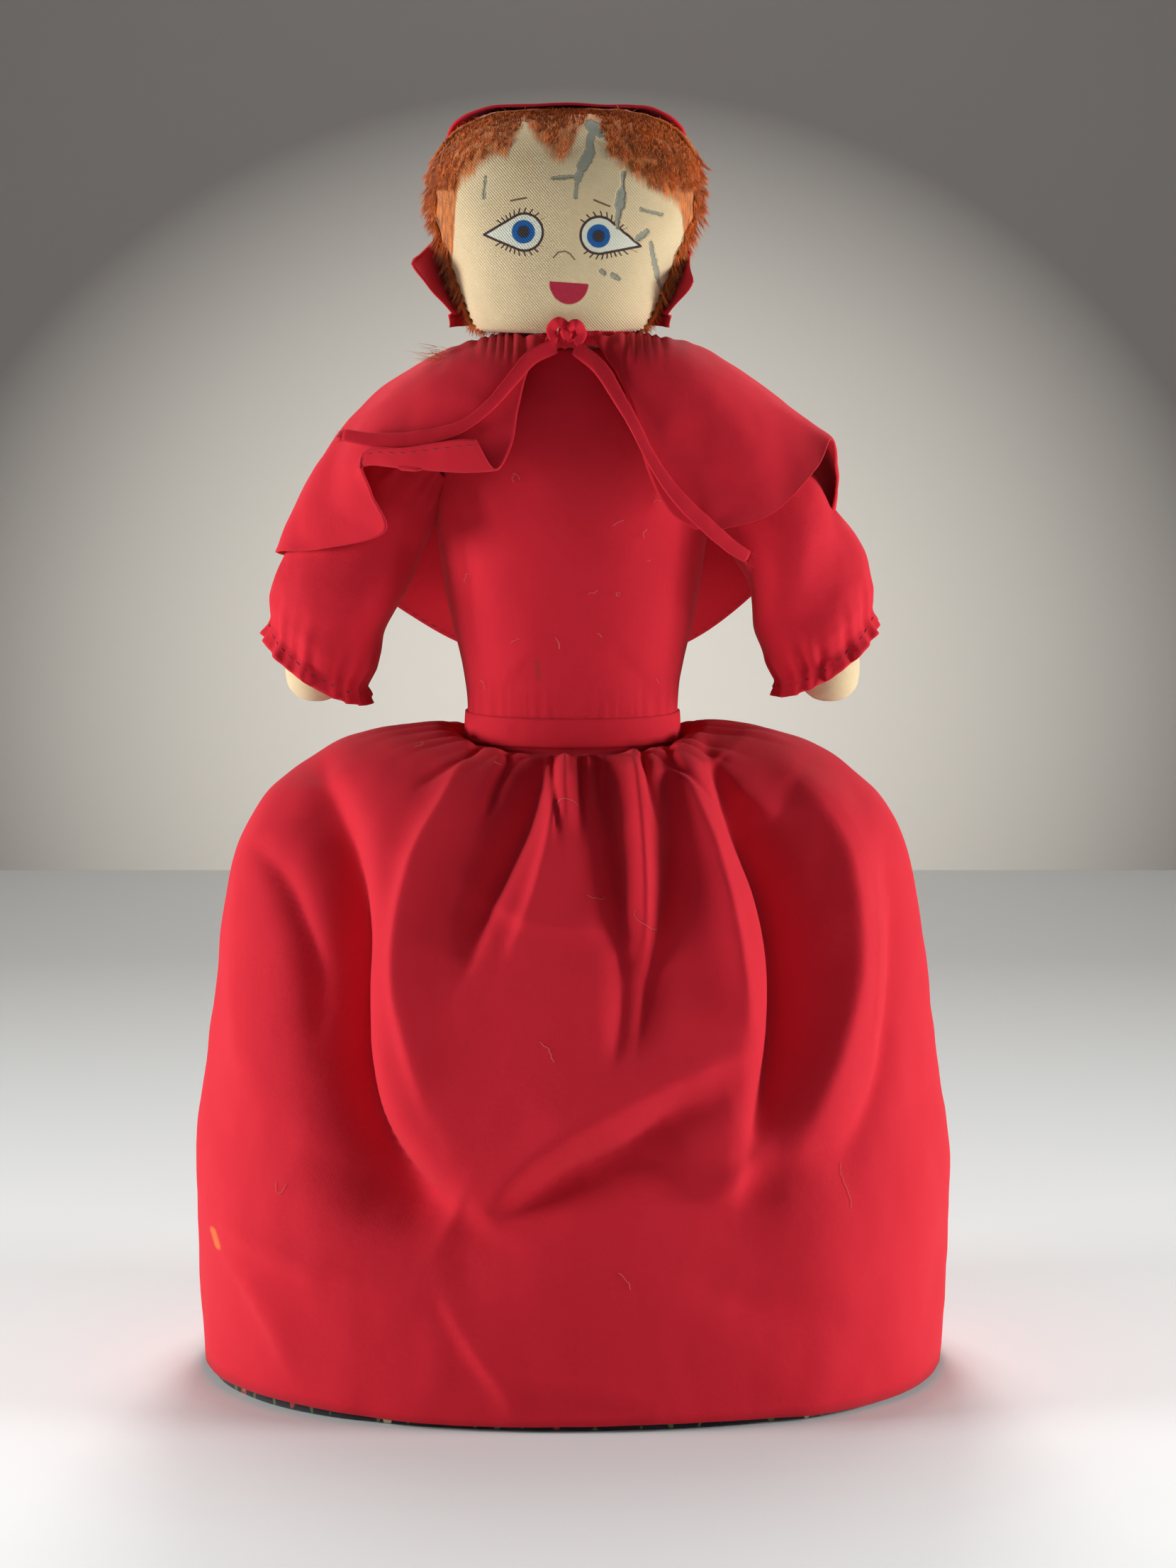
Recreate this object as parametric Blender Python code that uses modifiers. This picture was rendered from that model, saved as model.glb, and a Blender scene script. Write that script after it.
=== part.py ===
"""A topsy turvy doll: two stuffed cloth half dolls joined at the waist under one double skirt.

The doll in red stands up. The doll in dark print hangs head down inside the skirt.
Both are built by the same functions in a frame of their own, whose origin is the middle
of the waist, and the print doll's frame is turned half way round about Y.
Metres, +Z up, the doll faces -Y, and the origin is under the middle on the floor.
"""

import math

import bmesh
import bpy
from mathutils import Matrix, Vector

# Cloth, clearances and how finely the soft forms are drawn
TOUCH_GAP = 0.0003
SKIN_THICKNESS = 0.0008
BODICE_THICKNESS = 0.0010
PLUSH_PILE = 0.0014
SEAM_GAP = 0.0005
FLOOR_CUT = 0.0005
CUT_OVERRUN = 0.02
BODY_SIDES = 16
LIMB_SIDES = 10

# Torso, from the middle of the waist to the neck
TORSO_HEIGHT = 0.1185
CHEST_WIDTH = 0.080
CHEST_DEPTH = 0.045
NECK_LENGTH = 0.0045
NECK_WIDTH = 0.0290
NECK_DEPTH = 0.0250
NECK_INSIDE_HEAD = 0.003
NECK_OPENING_SPACE = 0.0006
TORSO_SHARES = (
    (0.0, 0.775, 0.845),
    (0.105, 0.775, 0.865),
    (0.42, 0.94, 0.98),
    (0.60, 1.0, 1.0),
    (0.742, 0.955, 0.95),
    (0.856, 0.85, 0.87),
    (0.94, 0.60, 0.74),
)

# Head, from the neck opening to the crown
HEAD_HEIGHT = 0.063
HEAD_WIDTH = 0.077
HEAD_DEPTH = 0.047
HEAD_SHARES = (
    (0.02, 0.60, 0.66),
    (0.06, 0.715, 0.74),
    (0.16, 0.80, 0.84),
    (0.34, 0.90, 0.94),
    (0.56, 1.0, 1.0),
    (0.74, 0.98, 0.93),
    (0.87, 0.84, 0.75),
    (0.95, 0.62, 0.50),
    (0.985, 0.34, 0.26),
)

# Waistband
BAND_HEIGHT = 0.0084
BAND_THICKNESS = 0.0014
BAND_RISE = 0.0036

# Arms: a bent centre line that leaves the shoulder outwards and ends hanging
SHOULDER_HEIGHT = 0.0855
ARM_LENGTH = 0.079
ARM_ROOT_RADIUS = 0.0072
ARM_ROOT_INSIDE = 0.0050
ARM_ROOT_TILT = math.radians(44)
ARM_END_TILT = math.radians(2)
ARM_RADIUS = 0.0094
ARM_DEPTH_SHARE = 0.88
ARM_SHARES = (
    (0.0, 0.766),
    (0.22, 0.94),
    (0.52, 1.0),
    (0.80, 0.99),
    (0.86, 0.98),
    (0.94, 0.84),
    (0.985, 0.46),
)

# Sleeves, gathered on a flat elastic near the end
SLEEVE_THICKNESS = 0.0010
SLEEVE_RADIUS = 0.0182
SLEEVE_LENGTH = 0.070
SLEEVE_START = 0.0065
SLEEVE_DEPTH_SHARE = 0.86
SLEEVE_SHARES = (
    (0.0, 0.58),
    (0.10, 0.76),
    (0.28, 0.95),
    (0.50, 1.0),
    (0.72, 0.97),
    (0.86, 0.84),
)
ELASTIC_PLACE = 0.0655
ELASTIC_WIDTH = 0.004
ELASTIC_THICKNESS = 0.0012
ELASTIC_SPACE = 0.0005
RUFFLE_RADIUS = 0.0148

# Skirt: side and front profiles run from the waist to the hem
SKIRT_WIDTH = 0.2390
SKIRT_DEPTH = 0.1605
SKIRT_RISE = 0.0016
SKIRT_CLOTH = 0.0010
SKIRT_LAYER_GAP = 0.0009
LINING_LIFT = 0.0010
SKIRT_SIDES = 64
SKIRT_ROWS = 15
FRONT_CROWDING = 0.25
HEM_SQUARENESS = 0.86
SKIRT_SIDE_SHARES = (
    (0.0, 1.0),
    (0.12, 1.033),
    (0.27, 1.028),
    (0.43, 1.008),
    (0.60, 0.965),
    (0.74, 0.90),
    (0.83, 0.80),
    (0.885, 0.66),
    (0.94, 0.50),
    (1.0, 0.31),
    (0.985, 0.0),
)
SKIRT_FRONT_SHARES = (
    (0.0, 1.0),
    (0.15, 0.998),
    (0.29, 0.98),
    (0.42, 0.937),
    (0.54, 0.872),
    (0.65, 0.785),
    (0.75, 0.67),
    (0.84, 0.52),
    (0.915, 0.35),
    (0.97, 0.18),
    (1.0, 0.0),
)

# Even folds run round the sides and the back
FOLD_DEPTH = 0.0070
SIDE_FOLD_SHARE = 0.45
FOLD_COUNT = 8
FOLD_LEAN = 0.1
FOLD_WAVE_SHARE = 0.7
FOLD_RIDGE_SHARE = 0.3
FOLD_UNEVEN_SHARE = 0.3
UNEVEN_COUNT = 5
FOLD_SHARES = (0.0, 0.06, 0.2, 0.4, 0.6, 0.8, 0.95, 1.0, 0.95, 0.7, 0.45)

# The front's own folds: how deep, as a share of the fold depth, how wide to either side, as a share
# of the half width, and the line that each runs down, as shares of the half width and the height
FRONT_CALM = 0.85
FRONT_SPREAD = 0.6
FRONT_OVERLAP = 0.25
FOLD_END_SHARE = 0.06
FOLD_END_BLUNTNESS = 0.6
WAIST_FADE_SHARE = 0.25
FRONT_FOLDS = (
    (0.7, 0.08, (-0.276, 0.989), (-0.393, 0.873), (-0.418, 0.73), (-0.452, 0.55)),
    (-0.5, 0.065, (-0.075, 0.984), (-0.08, 0.92), (-0.167, 0.772), (-0.234, 0.724)),
    (-0.8, 0.075, (-0.519, 0.973), (-0.46, 0.846), (-0.502, 0.693), (-0.519, 0.624)),
    (0.7, 0.07, (-0.703, 0.899), (-0.577, 0.746), (-0.502, 0.571), (-0.494, 0.465)),
    (-1.1, 0.085, (-0.77, 0.835), (-0.678, 0.656), (-0.628, 0.444), (-0.452, 0.317), (-0.318, 0.301)),
    (0.5, 0.08, (-0.586, 0.952), (-0.82, 0.783), (-0.895, 0.508), (-0.904, 0.349)),
    (0.45, 0.075, (0.08, 0.984), (0.105, 0.82), (0.09, 0.582)),
    (-0.85, 0.065, (0.125, 0.984), (0.165, 0.888), (0.156, 0.687), (0.161, 0.529)),
    (0.75, 0.07, (0.3, 0.98), (0.372, 0.809), (0.444, 0.598)),
    (-0.7, 0.07, (0.41, 0.836), (0.5, 0.619), (0.48, 0.55)),
    (0.5, 0.065, (0.092, 0.555), (0.251, 0.561), (0.351, 0.598)),
    (0.65, 0.07, (0.2, 0.524), (-0.033, 0.434), (-0.243, 0.307)),
    (-0.65, 0.065, (0.084, 0.561), (-0.184, 0.434), (-0.301, 0.317)),
    (0.65, 0.07, (0.519, 0.91), (0.636, 0.751), (0.569, 0.571), (0.46, 0.423)),
    (-0.8, 0.07, (0.703, 0.878), (0.703, 0.687), (0.594, 0.455), (0.502, 0.37)),
    (0.45, 0.07, (0.686, 0.931), (0.854, 0.719), (0.87, 0.444)),
    (0.5, 0.075, (-0.904, 0.36), (-0.695, 0.137), (-0.628, 0.063)),
)

# Neck casing and tie
CASING_RADIUS = 0.0016
CASING_SIDES = 8
TIE_THICKNESS = 0.0022
KNOT_WIDTH = 0.0080
KNOT_DEPTH = 0.0052
KNOT_HEIGHT = 0.0066
KNOT_OFF_MIDDLE = -0.0014

# Cape: profiles from the neck to the hem at the side, the back and the front
CAPE_THICKNESS = 0.0010
CAPE_WIDTH = 0.176
CAPE_BACK_REACH = 0.047
CAPE_FRONT_REACH = 0.0295
CAPE_SIDE_DROP = 0.0605
CAPE_BACK_DROP = 0.1085
CAPE_FRONT_DROP = 0.0540
CAPE_LEFT_FRONT_DROP = 0.0370
CAPE_OPENING = math.radians(17)
CAPE_SQUARENESS = 0.86
CAPE_STEPS = 24
CAPE_FOLD = 0.0014
CAPE_FOLDS = 5
CAPE_SIDE_SHARES = (
    (0.0, 0.0),
    (0.10, 0.0),
    (0.26, 0.03),
    (0.42, 0.11),
    (0.60, 0.24),
    (0.78, 0.46),
    (0.92, 0.73),
    (1.0, 1.0),
)
CAPE_BACK_SHARES = (
    (0.0, 0.0),
    (0.18, 0.01),
    (0.36, 0.05),
    (0.52, 0.14),
    (0.66, 0.29),
    (0.80, 0.52),
    (0.91, 0.76),
    (1.0, 1.0),
)
CAPE_FRONT_SHARES = (
    (0.0, 0.0),
    (0.22, 0.02),
    (0.48, 0.08),
    (0.68, 0.18),
    (0.82, 0.34),
    (0.91, 0.54),
    (0.97, 0.77),
    (1.0, 1.0),
)

# Hood: it follows the back of the head, and its front corners flare over the shoulders
HOOD_THICKNESS = 0.0010
HOOD_SPACE = 0.0009
HOOD_BACK_FULLNESS = 0.0022
HOOD_BASE_RISE = 0.0016
HOOD_STEPS = 10
HOOD_FRONT_WRAP = math.radians(5)
HOOD_FLARE_OUT = 0.0050
HOOD_FLARE_FORWARD = 0.0065
HOOD_FLARE_POWER = 6
HOOD_FLARE_SHARES = (0.35, 0.55, 1.0, 0.75, 0.2, 0.0, 0.0, 0.0, 0.0)

# Measures that follow from the driving sizes
WAIST_HEIGHT = TORSO_HEIGHT + NECK_LENGTH + HEAD_HEIGHT - FLOOR_CUT
HEAD_BASE = TORSO_HEIGHT + NECK_LENGTH
SKIN_INSET = BODICE_THICKNESS + TOUCH_GAP
FILL_INSET = SKIN_INSET + SKIN_THICKNESS + TOUCH_GAP
HEAD_FILL_INSET = SKIN_THICKNESS + PLUSH_PILE + TOUCH_GAP
CASING_HEIGHT = TORSO_HEIGHT + CASING_RADIUS + TOUCH_GAP
BAND_PROUD = BAND_THICKNESS - BODICE_THICKNESS

COLOURS = {
    "red_cotton": ((0.52, 0.012, 0.025, 1.0), 0.85),
    "print_cotton": ((0.02, 0.018, 0.024, 1.0), 0.85),
    "cream_twill": ((0.66, 0.54, 0.34, 1.0), 0.9),
    "orange_plush": ((0.42, 0.10, 0.02, 1.0), 0.95),
    "fibre_fill": ((0.80, 0.78, 0.72, 1.0), 0.95),
    "elastic": ((0.70, 0.68, 0.64, 1.0), 0.8),
}


def clear_scene():
    for obj in list(bpy.data.objects):
        bpy.data.objects.remove(obj, do_unlink=True)


def new_collection(name, hidden=False):
    collection = bpy.data.collections.new(name)
    bpy.context.scene.collection.children.link(collection)
    collection.hide_render = hidden
    return collection


def new_material(name, colour, roughness):
    material = bpy.data.materials.new(name)
    material.use_nodes = True
    shader = material.node_tree.nodes["Principled BSDF"]
    shader.inputs["Base Color"].default_value = colour
    shader.inputs["Roughness"].default_value = roughness
    shader.inputs["Metallic"].default_value = 0.0
    return material


def read_share(table, at):
    """The other columns of a table of shares at a value of its first, on straight lines."""
    for low, high in zip(table, table[1:]):
        if at <= high[0]:
            part = (at - low[0]) / (high[0] - low[0])
            return [a + (b - a) * part for a, b in zip(low[1:], high[1:])]
    return list(table[-1][1:])


def through(points, at):
    """A point of the smooth curve through a route, at a whole or part number of its points."""
    index = min(int(at), len(points) - 2)
    part = at - index
    before, start, end, after = (
        Vector(points[min(max(index + step, 0), len(points) - 1)]) for step in (-1, 0, 1, 2)
    )
    return start + part / 2 * (
        (end - before)
        + part * (2 * before - 5 * start + 4 * end - after)
        + part**2 * (3 * start - before - 3 * end + after)
    )


def ring(centre, across, along, half_across, half_along, sides):
    """Points round an ellipse, the first of them on its first axis."""
    points = []
    for index in range(sides):
        angle = 2 * math.pi * index / sides
        points.append(
            centre + across * half_across * math.cos(angle) + along * half_along * math.sin(angle)
        )
    return points


def level_ring(height, half_width, half_depth, sides):
    return ring(Vector((0, 0, height)), Vector((1, 0, 0)), Vector((0, 1, 0)), half_width, half_depth, sides)


def loft(rings, closed=True, first_pole=None, last_pole=None):
    """A mesh through rings of points, left open at an end that has no pole."""
    mesh = bmesh.new()
    rows = [[mesh.verts.new(point) for point in points] for points in rings]
    count = len(rows[0])
    for row, following in zip(rows, rows[1:]):
        for index in range(count if closed else count - 1):
            after = (index + 1) % count
            mesh.faces.new((row[index], row[after], following[after], following[index]))
    for row, pole in ((rows[0], first_pole), (rows[-1], last_pole)):
        if pole is not None:
            tip = mesh.verts.new(pole)
            for index in range(count if closed else count - 1):
                mesh.faces.new((row[index], row[(index + 1) % count], tip))
    bmesh.ops.remove_doubles(mesh, verts=mesh.verts, dist=TOUCH_GAP / 100)
    bmesh.ops.recalc_face_normals(mesh, faces=mesh.faces)
    return mesh


def shrink(mesh, distance):
    """Moves the surface inwards along its normals, so that its walls stay this far from where they were."""
    mesh.normal_update()
    moves = [vert.normal * distance * vert.calc_shell_factor() for vert in mesh.verts]
    for vert, move in zip(mesh.verts, moves):
        vert.co -= move
    return mesh


class Maker:
    """Turns meshes into named objects of one half doll, under that doll's frame."""

    def __init__(self, collection, cutters, materials):
        self.collection = collection
        self.cutters = cutters
        self.materials = materials
        self.frame = None

    def place(self, name, data, material):
        obj = bpy.data.objects.new(name, data)
        self.collection.objects.link(obj)
        data.materials.append(self.materials[material])
        obj.parent = self.frame
        return obj

    def add(self, name, mesh, material, wall=0.0, cuts=()):
        data = bpy.data.meshes.new(name)
        mesh.to_mesh(data)
        mesh.free()
        obj = self.place(name, data, material)
        if wall:
            solid = obj.modifiers.new("Wall", "SOLIDIFY")
            solid.thickness = wall
            solid.offset = -1
            solid.use_even_offset = True
        for cut in cuts:
            boolean = obj.modifiers.new("Cut", "BOOLEAN")
            boolean.operation = "DIFFERENCE"
            boolean.object = self.cutters[cut]
        data.shade_smooth()
        return obj

    def under_joint(self, name, place, pieces):
        """Hangs pieces on an empty that stands on their joint's axis."""
        empty = bpy.data.objects.new(name, None)
        self.collection.objects.link(empty)
        empty.parent = self.frame
        empty.location = place
        for piece in pieces:
            piece.parent = empty
            piece.matrix_parent_inverse = Matrix.Translation(place).inverted()


def box_cutter(collection, name, low, high):
    mesh = bmesh.new()
    bmesh.ops.create_cube(mesh, size=1)
    low, high = Vector(low), Vector(high)
    for vert in mesh.verts:
        vert.co = Vector(a * b for a, b in zip(vert.co, high - low)) + (low + high) / 2
    data = bpy.data.meshes.new(name)
    mesh.to_mesh(data)
    mesh.free()
    cutter = bpy.data.objects.new(name, data)
    collection.objects.link(cutter)
    cutter.hide_render = True
    cutter.display_type = "WIRE"
    return cutter


def make_cutters(collection):
    """Boxes that trim the front panels, the back panels and whatever reaches the floor."""
    wide = SKIRT_WIDTH / 2 + CUT_OVERRUN
    deep = SKIRT_DEPTH / 2 + CUT_OVERRUN
    top = 2 * WAIST_HEIGHT + CUT_OVERRUN
    seam = SEAM_GAP / 2
    return {
        "behind": box_cutter(collection, "behind_seam", (-wide, -seam, -CUT_OVERRUN), (wide, deep, top)),
        "before": box_cutter(collection, "before_seam", (-wide, -deep, -CUT_OVERRUN), (wide, seam, top)),
        "floor": box_cutter(collection, "floor", (-wide, -deep, -CUT_OVERRUN), (wide, deep, 0)),
        "hem": box_cutter(collection, "lining_hem", (-wide, -deep, -CUT_OVERRUN), (wide, deep, LINING_LIFT)),
    }


def torso_half_sizes(height):
    """Half width and half depth of the bodice's outer face, down to the neckline."""
    width_share, depth_share = read_share(TORSO_SHARES, height / TORSO_HEIGHT)
    return width_share * CHEST_WIDTH / 2, depth_share * CHEST_DEPTH / 2


def neckline_half_sizes():
    return NECK_WIDTH / 2 + SKIN_INSET, NECK_DEPTH / 2 + SKIN_INSET


def torso_rings(heights):
    return [level_ring(height, *torso_half_sizes(abs(height)), BODY_SIDES) for height in heights]


def body_mesh(inset, capped=False):
    """The body that both dolls share, this far inside the bodices' outer faces."""
    heights = [share[0] * TORSO_HEIGHT for share in TORSO_SHARES]
    top = HEAD_BASE + NECK_INSIDE_HEAD
    neck = neckline_half_sizes()
    below = [level_ring(-height, *neck, BODY_SIDES) for height in (top, TORSO_HEIGHT)]
    above = [level_ring(height, *neck, BODY_SIDES) for height in (TORSO_HEIGHT, top)]
    levels = [-height for height in reversed(heights[1:])] + heights
    poles = (Vector((0, 0, -top)), Vector((0, 0, top))) if capped else ()
    return shrink(loft(below + torso_rings(levels) + above, True, *poles), inset)


def make_body(maker):
    """The cloth body that both dolls share, and its fill."""
    maker.add("body_skin_front", body_mesh(SKIN_INSET), "cream_twill", SKIN_THICKNESS, ("behind",))
    maker.add("body_skin_back", body_mesh(SKIN_INSET), "cream_twill", SKIN_THICKNESS, ("before",))
    maker.add("body_stuffing", body_mesh(FILL_INSET, capped=True), "fibre_fill")


def head_half_sizes(width_share, depth_share, spread=0.0):
    return width_share * HEAD_WIDTH / 2 + spread, depth_share * HEAD_DEPTH / 2 + spread


def head_rings(above=0.0, spread=0.0):
    """Rings of the head from its neck opening, or from a height, with the sides spread."""
    rings = []
    if not above:
        opening = [size / 2 + NECK_OPENING_SPACE + spread for size in (NECK_WIDTH, NECK_DEPTH)]
        rings.append(level_ring(HEAD_BASE, *opening, BODY_SIDES))
    for height_share, *size_shares in HEAD_SHARES:
        height = HEAD_BASE + height_share * HEAD_HEIGHT
        if height > above:
            rings.append(level_ring(height, *head_half_sizes(*size_shares, spread), BODY_SIDES))
    return rings


def make_head(maker, prefix, cuts=()):
    crown = Vector((0, 0, HEAD_BASE + HEAD_HEIGHT))
    face = loft(head_rings(), last_pole=crown)
    maker.add(prefix + "_face_panel", face, "cream_twill", SKIN_THICKNESS, ("behind",) + cuts)
    back = loft(head_rings(spread=PLUSH_PILE), last_pole=crown)
    maker.add(prefix + "_head_back", back, "orange_plush", SKIN_THICKNESS + PLUSH_PILE, ("before",) + cuts)
    base = HEAD_BASE + NECK_INSIDE_HEAD + TOUCH_GAP - HEAD_FILL_INSET
    size_shares = read_share(HEAD_SHARES, (base - HEAD_BASE) / HEAD_HEIGHT)
    floor = level_ring(base, *head_half_sizes(*size_shares), BODY_SIDES)
    fill = loft([floor] + head_rings(above=base), True, Vector((0, 0, base)), crown)
    maker.add(prefix + "_head_stuffing", shrink(fill, HEAD_FILL_INSET), "fibre_fill")


def bodice_mesh():
    low = BAND_RISE + BAND_HEIGHT + TOUCH_GAP
    heights = [low] + [s[0] * TORSO_HEIGHT for s in TORSO_SHARES if s[0] * TORSO_HEIGHT > low]
    return loft(torso_rings(heights) + [level_ring(TORSO_HEIGHT, *neckline_half_sizes(), BODY_SIDES)])


def make_bodice(maker, prefix):
    cotton = prefix + "_cotton"
    maker.add(prefix + "_bodice_front", bodice_mesh(), cotton, BODICE_THICKNESS, ("behind",))
    maker.add(prefix + "_bodice_back", bodice_mesh(), cotton, BODICE_THICKNESS, ("before",))
    band = loft(torso_rings((BAND_RISE, BAND_RISE + BAND_HEIGHT)))
    maker.add(prefix + "_waistband", shrink(band, -BAND_PROUD), cotton, BAND_THICKNESS)


def shoulder(side):
    """The middle of the arm's round root, which the bodice's side just clears."""
    half_width, _ = torso_half_sizes(SHOULDER_HEIGHT)
    return Vector((side * (half_width + TOUCH_GAP + ARM_ROOT_RADIUS), 0, SHOULDER_HEIGHT))


def arm_ring(side, along, radius, depth_share):
    """A ring across the arm's bent centre line, this far along it from the shoulder."""
    bend = ARM_LENGTH / (ARM_ROOT_TILT - ARM_END_TILT)
    tilt = ARM_ROOT_TILT - along / bend
    out = bend * (math.cos(tilt) - math.cos(ARM_ROOT_TILT))
    down = bend * (math.sin(ARM_ROOT_TILT) - math.sin(tilt))
    centre = shoulder(side) + Vector((side * out, 0, -down))
    across = Vector((side * math.cos(tilt), 0, math.sin(tilt)))
    return ring(centre, across, Vector((0, 1, 0)), radius, radius * depth_share, LIMB_SIDES)


def arm_point(side, along):
    return sum(arm_ring(side, along, 0, 1), Vector()) / LIMB_SIDES


def arm_radius(along):
    (share,) = read_share(ARM_SHARES, along / ARM_LENGTH)
    return share * ARM_RADIUS


def arm_mesh(side, inset=0.0, capped=False):
    root = math.sqrt(ARM_ROOT_RADIUS**2 - ARM_ROOT_INSIDE**2)
    rings = [arm_ring(side, -ARM_ROOT_INSIDE, root, ARM_DEPTH_SHARE)]
    for share, _ in ARM_SHARES:
        along = share * ARM_LENGTH
        rings.append(arm_ring(side, along, arm_radius(along), ARM_DEPTH_SHARE))
    first = arm_point(side, -ARM_ROOT_INSIDE) if capped else None
    return shrink(loft(rings, True, first, arm_point(side, ARM_LENGTH)), inset)


def make_arm(maker, prefix, hand, side):
    name = f"{prefix}_{hand}"
    inset = SKIN_THICKNESS + TOUCH_GAP
    pieces = [
        maker.add(name + "_arm_skin", arm_mesh(side), "cream_twill", SKIN_THICKNESS),
        maker.add(name + "_arm_stuffing", arm_mesh(side, inset, capped=True), "fibre_fill"),
        maker.add(name + "_sleeve", loft(sleeve_rings(side)), prefix + "_cotton", SLEEVE_THICKNESS),
        maker.add(name + "_cuff_elastic", elastic_mesh(side), "elastic", ELASTIC_THICKNESS),
    ]
    maker.under_joint(name + "_shoulder", shoulder(side), pieces)


def elastic_radius(along):
    return arm_radius(along) + ELASTIC_SPACE + ELASTIC_THICKNESS


def sleeve_rings(side):
    rings = []
    for share, radius_share in SLEEVE_SHARES:
        along = SLEEVE_START + share * (SLEEVE_LENGTH - SLEEVE_START)
        rings.append(arm_ring(side, along, radius_share * SLEEVE_RADIUS, SLEEVE_DEPTH_SHARE))
    gather = elastic_radius(ELASTIC_PLACE) + ELASTIC_SPACE + SLEEVE_THICKNESS
    for along in elastic_ends():
        rings.append(arm_ring(side, along, gather, ARM_DEPTH_SHARE))
    rings.append(arm_ring(side, SLEEVE_LENGTH, RUFFLE_RADIUS, SLEEVE_DEPTH_SHARE))
    return rings


def elastic_ends():
    return ELASTIC_PLACE - ELASTIC_WIDTH / 2, ELASTIC_PLACE + ELASTIC_WIDTH / 2


def elastic_mesh(side):
    radius = elastic_radius(ELASTIC_PLACE)
    return loft([arm_ring(side, along, radius, ARM_DEPTH_SHARE) for along in elastic_ends()])


def skirt_point(row, azimuth):
    """The unfolded skirt at a whole or part row of its profiles and an angle from the back."""
    half_width, half_depth = torso_half_sizes(SKIRT_RISE)
    start = TOUCH_GAP - SKIN_INSET
    side, front = through(SKIRT_SIDE_SHARES, row), through(SKIRT_FRONT_SHARES, row)
    reach_x = half_width + start + side[0] * (SKIRT_WIDTH / 2 - FOLD_DEPTH - half_width)
    reach_y = half_depth + start + front[0] * (SKIRT_DEPTH / 2 - FOLD_DEPTH - half_depth)
    level = side[1] * math.sin(azimuth) ** 2 + front[1] * math.cos(azimuth) ** 2
    height = level * (WAIST_HEIGHT + SKIRT_RISE) - WAIST_HEIGHT
    square = 1 + (HEM_SQUARENESS - 1) * row / (len(SKIRT_SIDE_SHARES) - 1)
    across = math.copysign(abs(math.sin(azimuth)) ** square, math.sin(azimuth))
    behind = math.copysign(abs(math.cos(azimuth)) ** square, math.cos(azimuth))
    return Vector((reach_x * across, reach_y * behind, height))


def even_fold(azimuth):
    """How far an even fold stands out, up to about 1, deeper at the back than at the sides."""
    leaning = azimuth + FOLD_LEAN * math.sin(2 * azimuth)
    regular = math.cos(FOLD_COUNT * leaning)
    uneven = FOLD_UNEVEN_SHARE * math.sin(2 * azimuth) * math.cos(UNEVEN_COUNT * azimuth)
    depth = SIDE_FOLD_SHARE + (1 - SIDE_FOLD_SHARE) * math.cos(azimuth) ** 2
    return depth * (FOLD_WAVE_SHARE * regular + FOLD_RIDGE_SHARE * regular**2 + uneven)


def nearness(here, line, width):
    """1 on a line, less on either side of it and towards its ends."""
    nearest = None
    for index, (start, end) in enumerate(zip(line, line[1:])):
        run = end - start
        part = min(max((here - start).dot(run) / run.length_squared, 0.0), 1.0)
        apart = (here - start - part * run).length
        if nearest is None or apart < nearest[0]:
            nearest = apart, (index + part) / (len(line) - 1)
    apart, along = nearest
    fade = max(math.sin(math.pi * along), FOLD_END_SHARE) ** FOLD_END_BLUNTNESS
    return fade * math.exp(-((apart / width) ** 2))


def front_fold(point):
    """How far the front's own folds lift a point of the skirt, as a share of the fold depth."""
    half_width, height = SKIRT_WIDTH / 2, WAIST_HEIGHT + SKIRT_RISE
    here = Vector((point.x, point.z + WAIST_HEIGHT))
    lift = 0.0
    for depth, width, *line in FRONT_FOLDS:
        corners = [Vector((across * half_width, up * height)) for across, up in line]
        lift += depth * nearness(here, corners, width * half_width)
    return lift


def fold_lift(row, azimuth, point):
    """The folds at a point: even ones round the sides and the back, which give way to the front's own."""
    last = len(FOLD_SHARES) - 1
    (share,) = read_share(list(enumerate(FOLD_SHARES)), row)
    front = min(max(FRONT_OVERLAP - math.cos(azimuth) / FRONT_SPREAD, 0.0), 1.0)
    at_waist = min(row / (last * WAIST_FADE_SHARE), 1.0)
    even = share * even_fold(azimuth) * (1 - FRONT_CALM * front)
    return FOLD_DEPTH * (even + front * at_waist * front_fold(point))


def skirt_mesh():
    """The folded skirt's outer face, which runs a little under the floor at the hem."""
    rings = []
    last = len(SKIRT_SIDE_SHARES) - 1
    turn = math.pi / SKIRT_SIDES
    for level in range(SKIRT_ROWS + 1):
        row = last * level / SKIRT_ROWS
        points = []
        for step in range(SKIRT_SIDES):
            azimuth = 2 * turn * step + FRONT_CROWDING * math.sin(2 * turn * step)
            here = skirt_point(row, azimuth)
            down = skirt_point(min(row + 1, last), azimuth) - skirt_point(max(row - 1, 0), azimuth)
            around = skirt_point(row, azimuth - turn) - skirt_point(row, azimuth + turn)
            outward = down.cross(around).normalized()
            points.append(here + outward * fold_lift(row, azimuth, here))
        rings.append(points)
    for point in rings[-1]:
        point.z = -WAIST_HEIGHT - FLOOR_CUT
    return loft(rings)


def make_skirts(maker):
    """The two skirts, one inside the other, that meet at the hem."""
    maker.add("red_skirt", skirt_mesh(), "red_cotton", SKIRT_CLOTH, ("floor",))
    lining = shrink(skirt_mesh(), SKIRT_CLOTH + SKIRT_LAYER_GAP)
    maker.add("print_skirt", lining, "print_cotton", SKIRT_CLOTH, ("hem",))


def casing_half_sizes():
    half_width, half_depth = neckline_half_sizes()
    return half_width + CASING_RADIUS / 2, half_depth + CASING_RADIUS / 2


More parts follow.
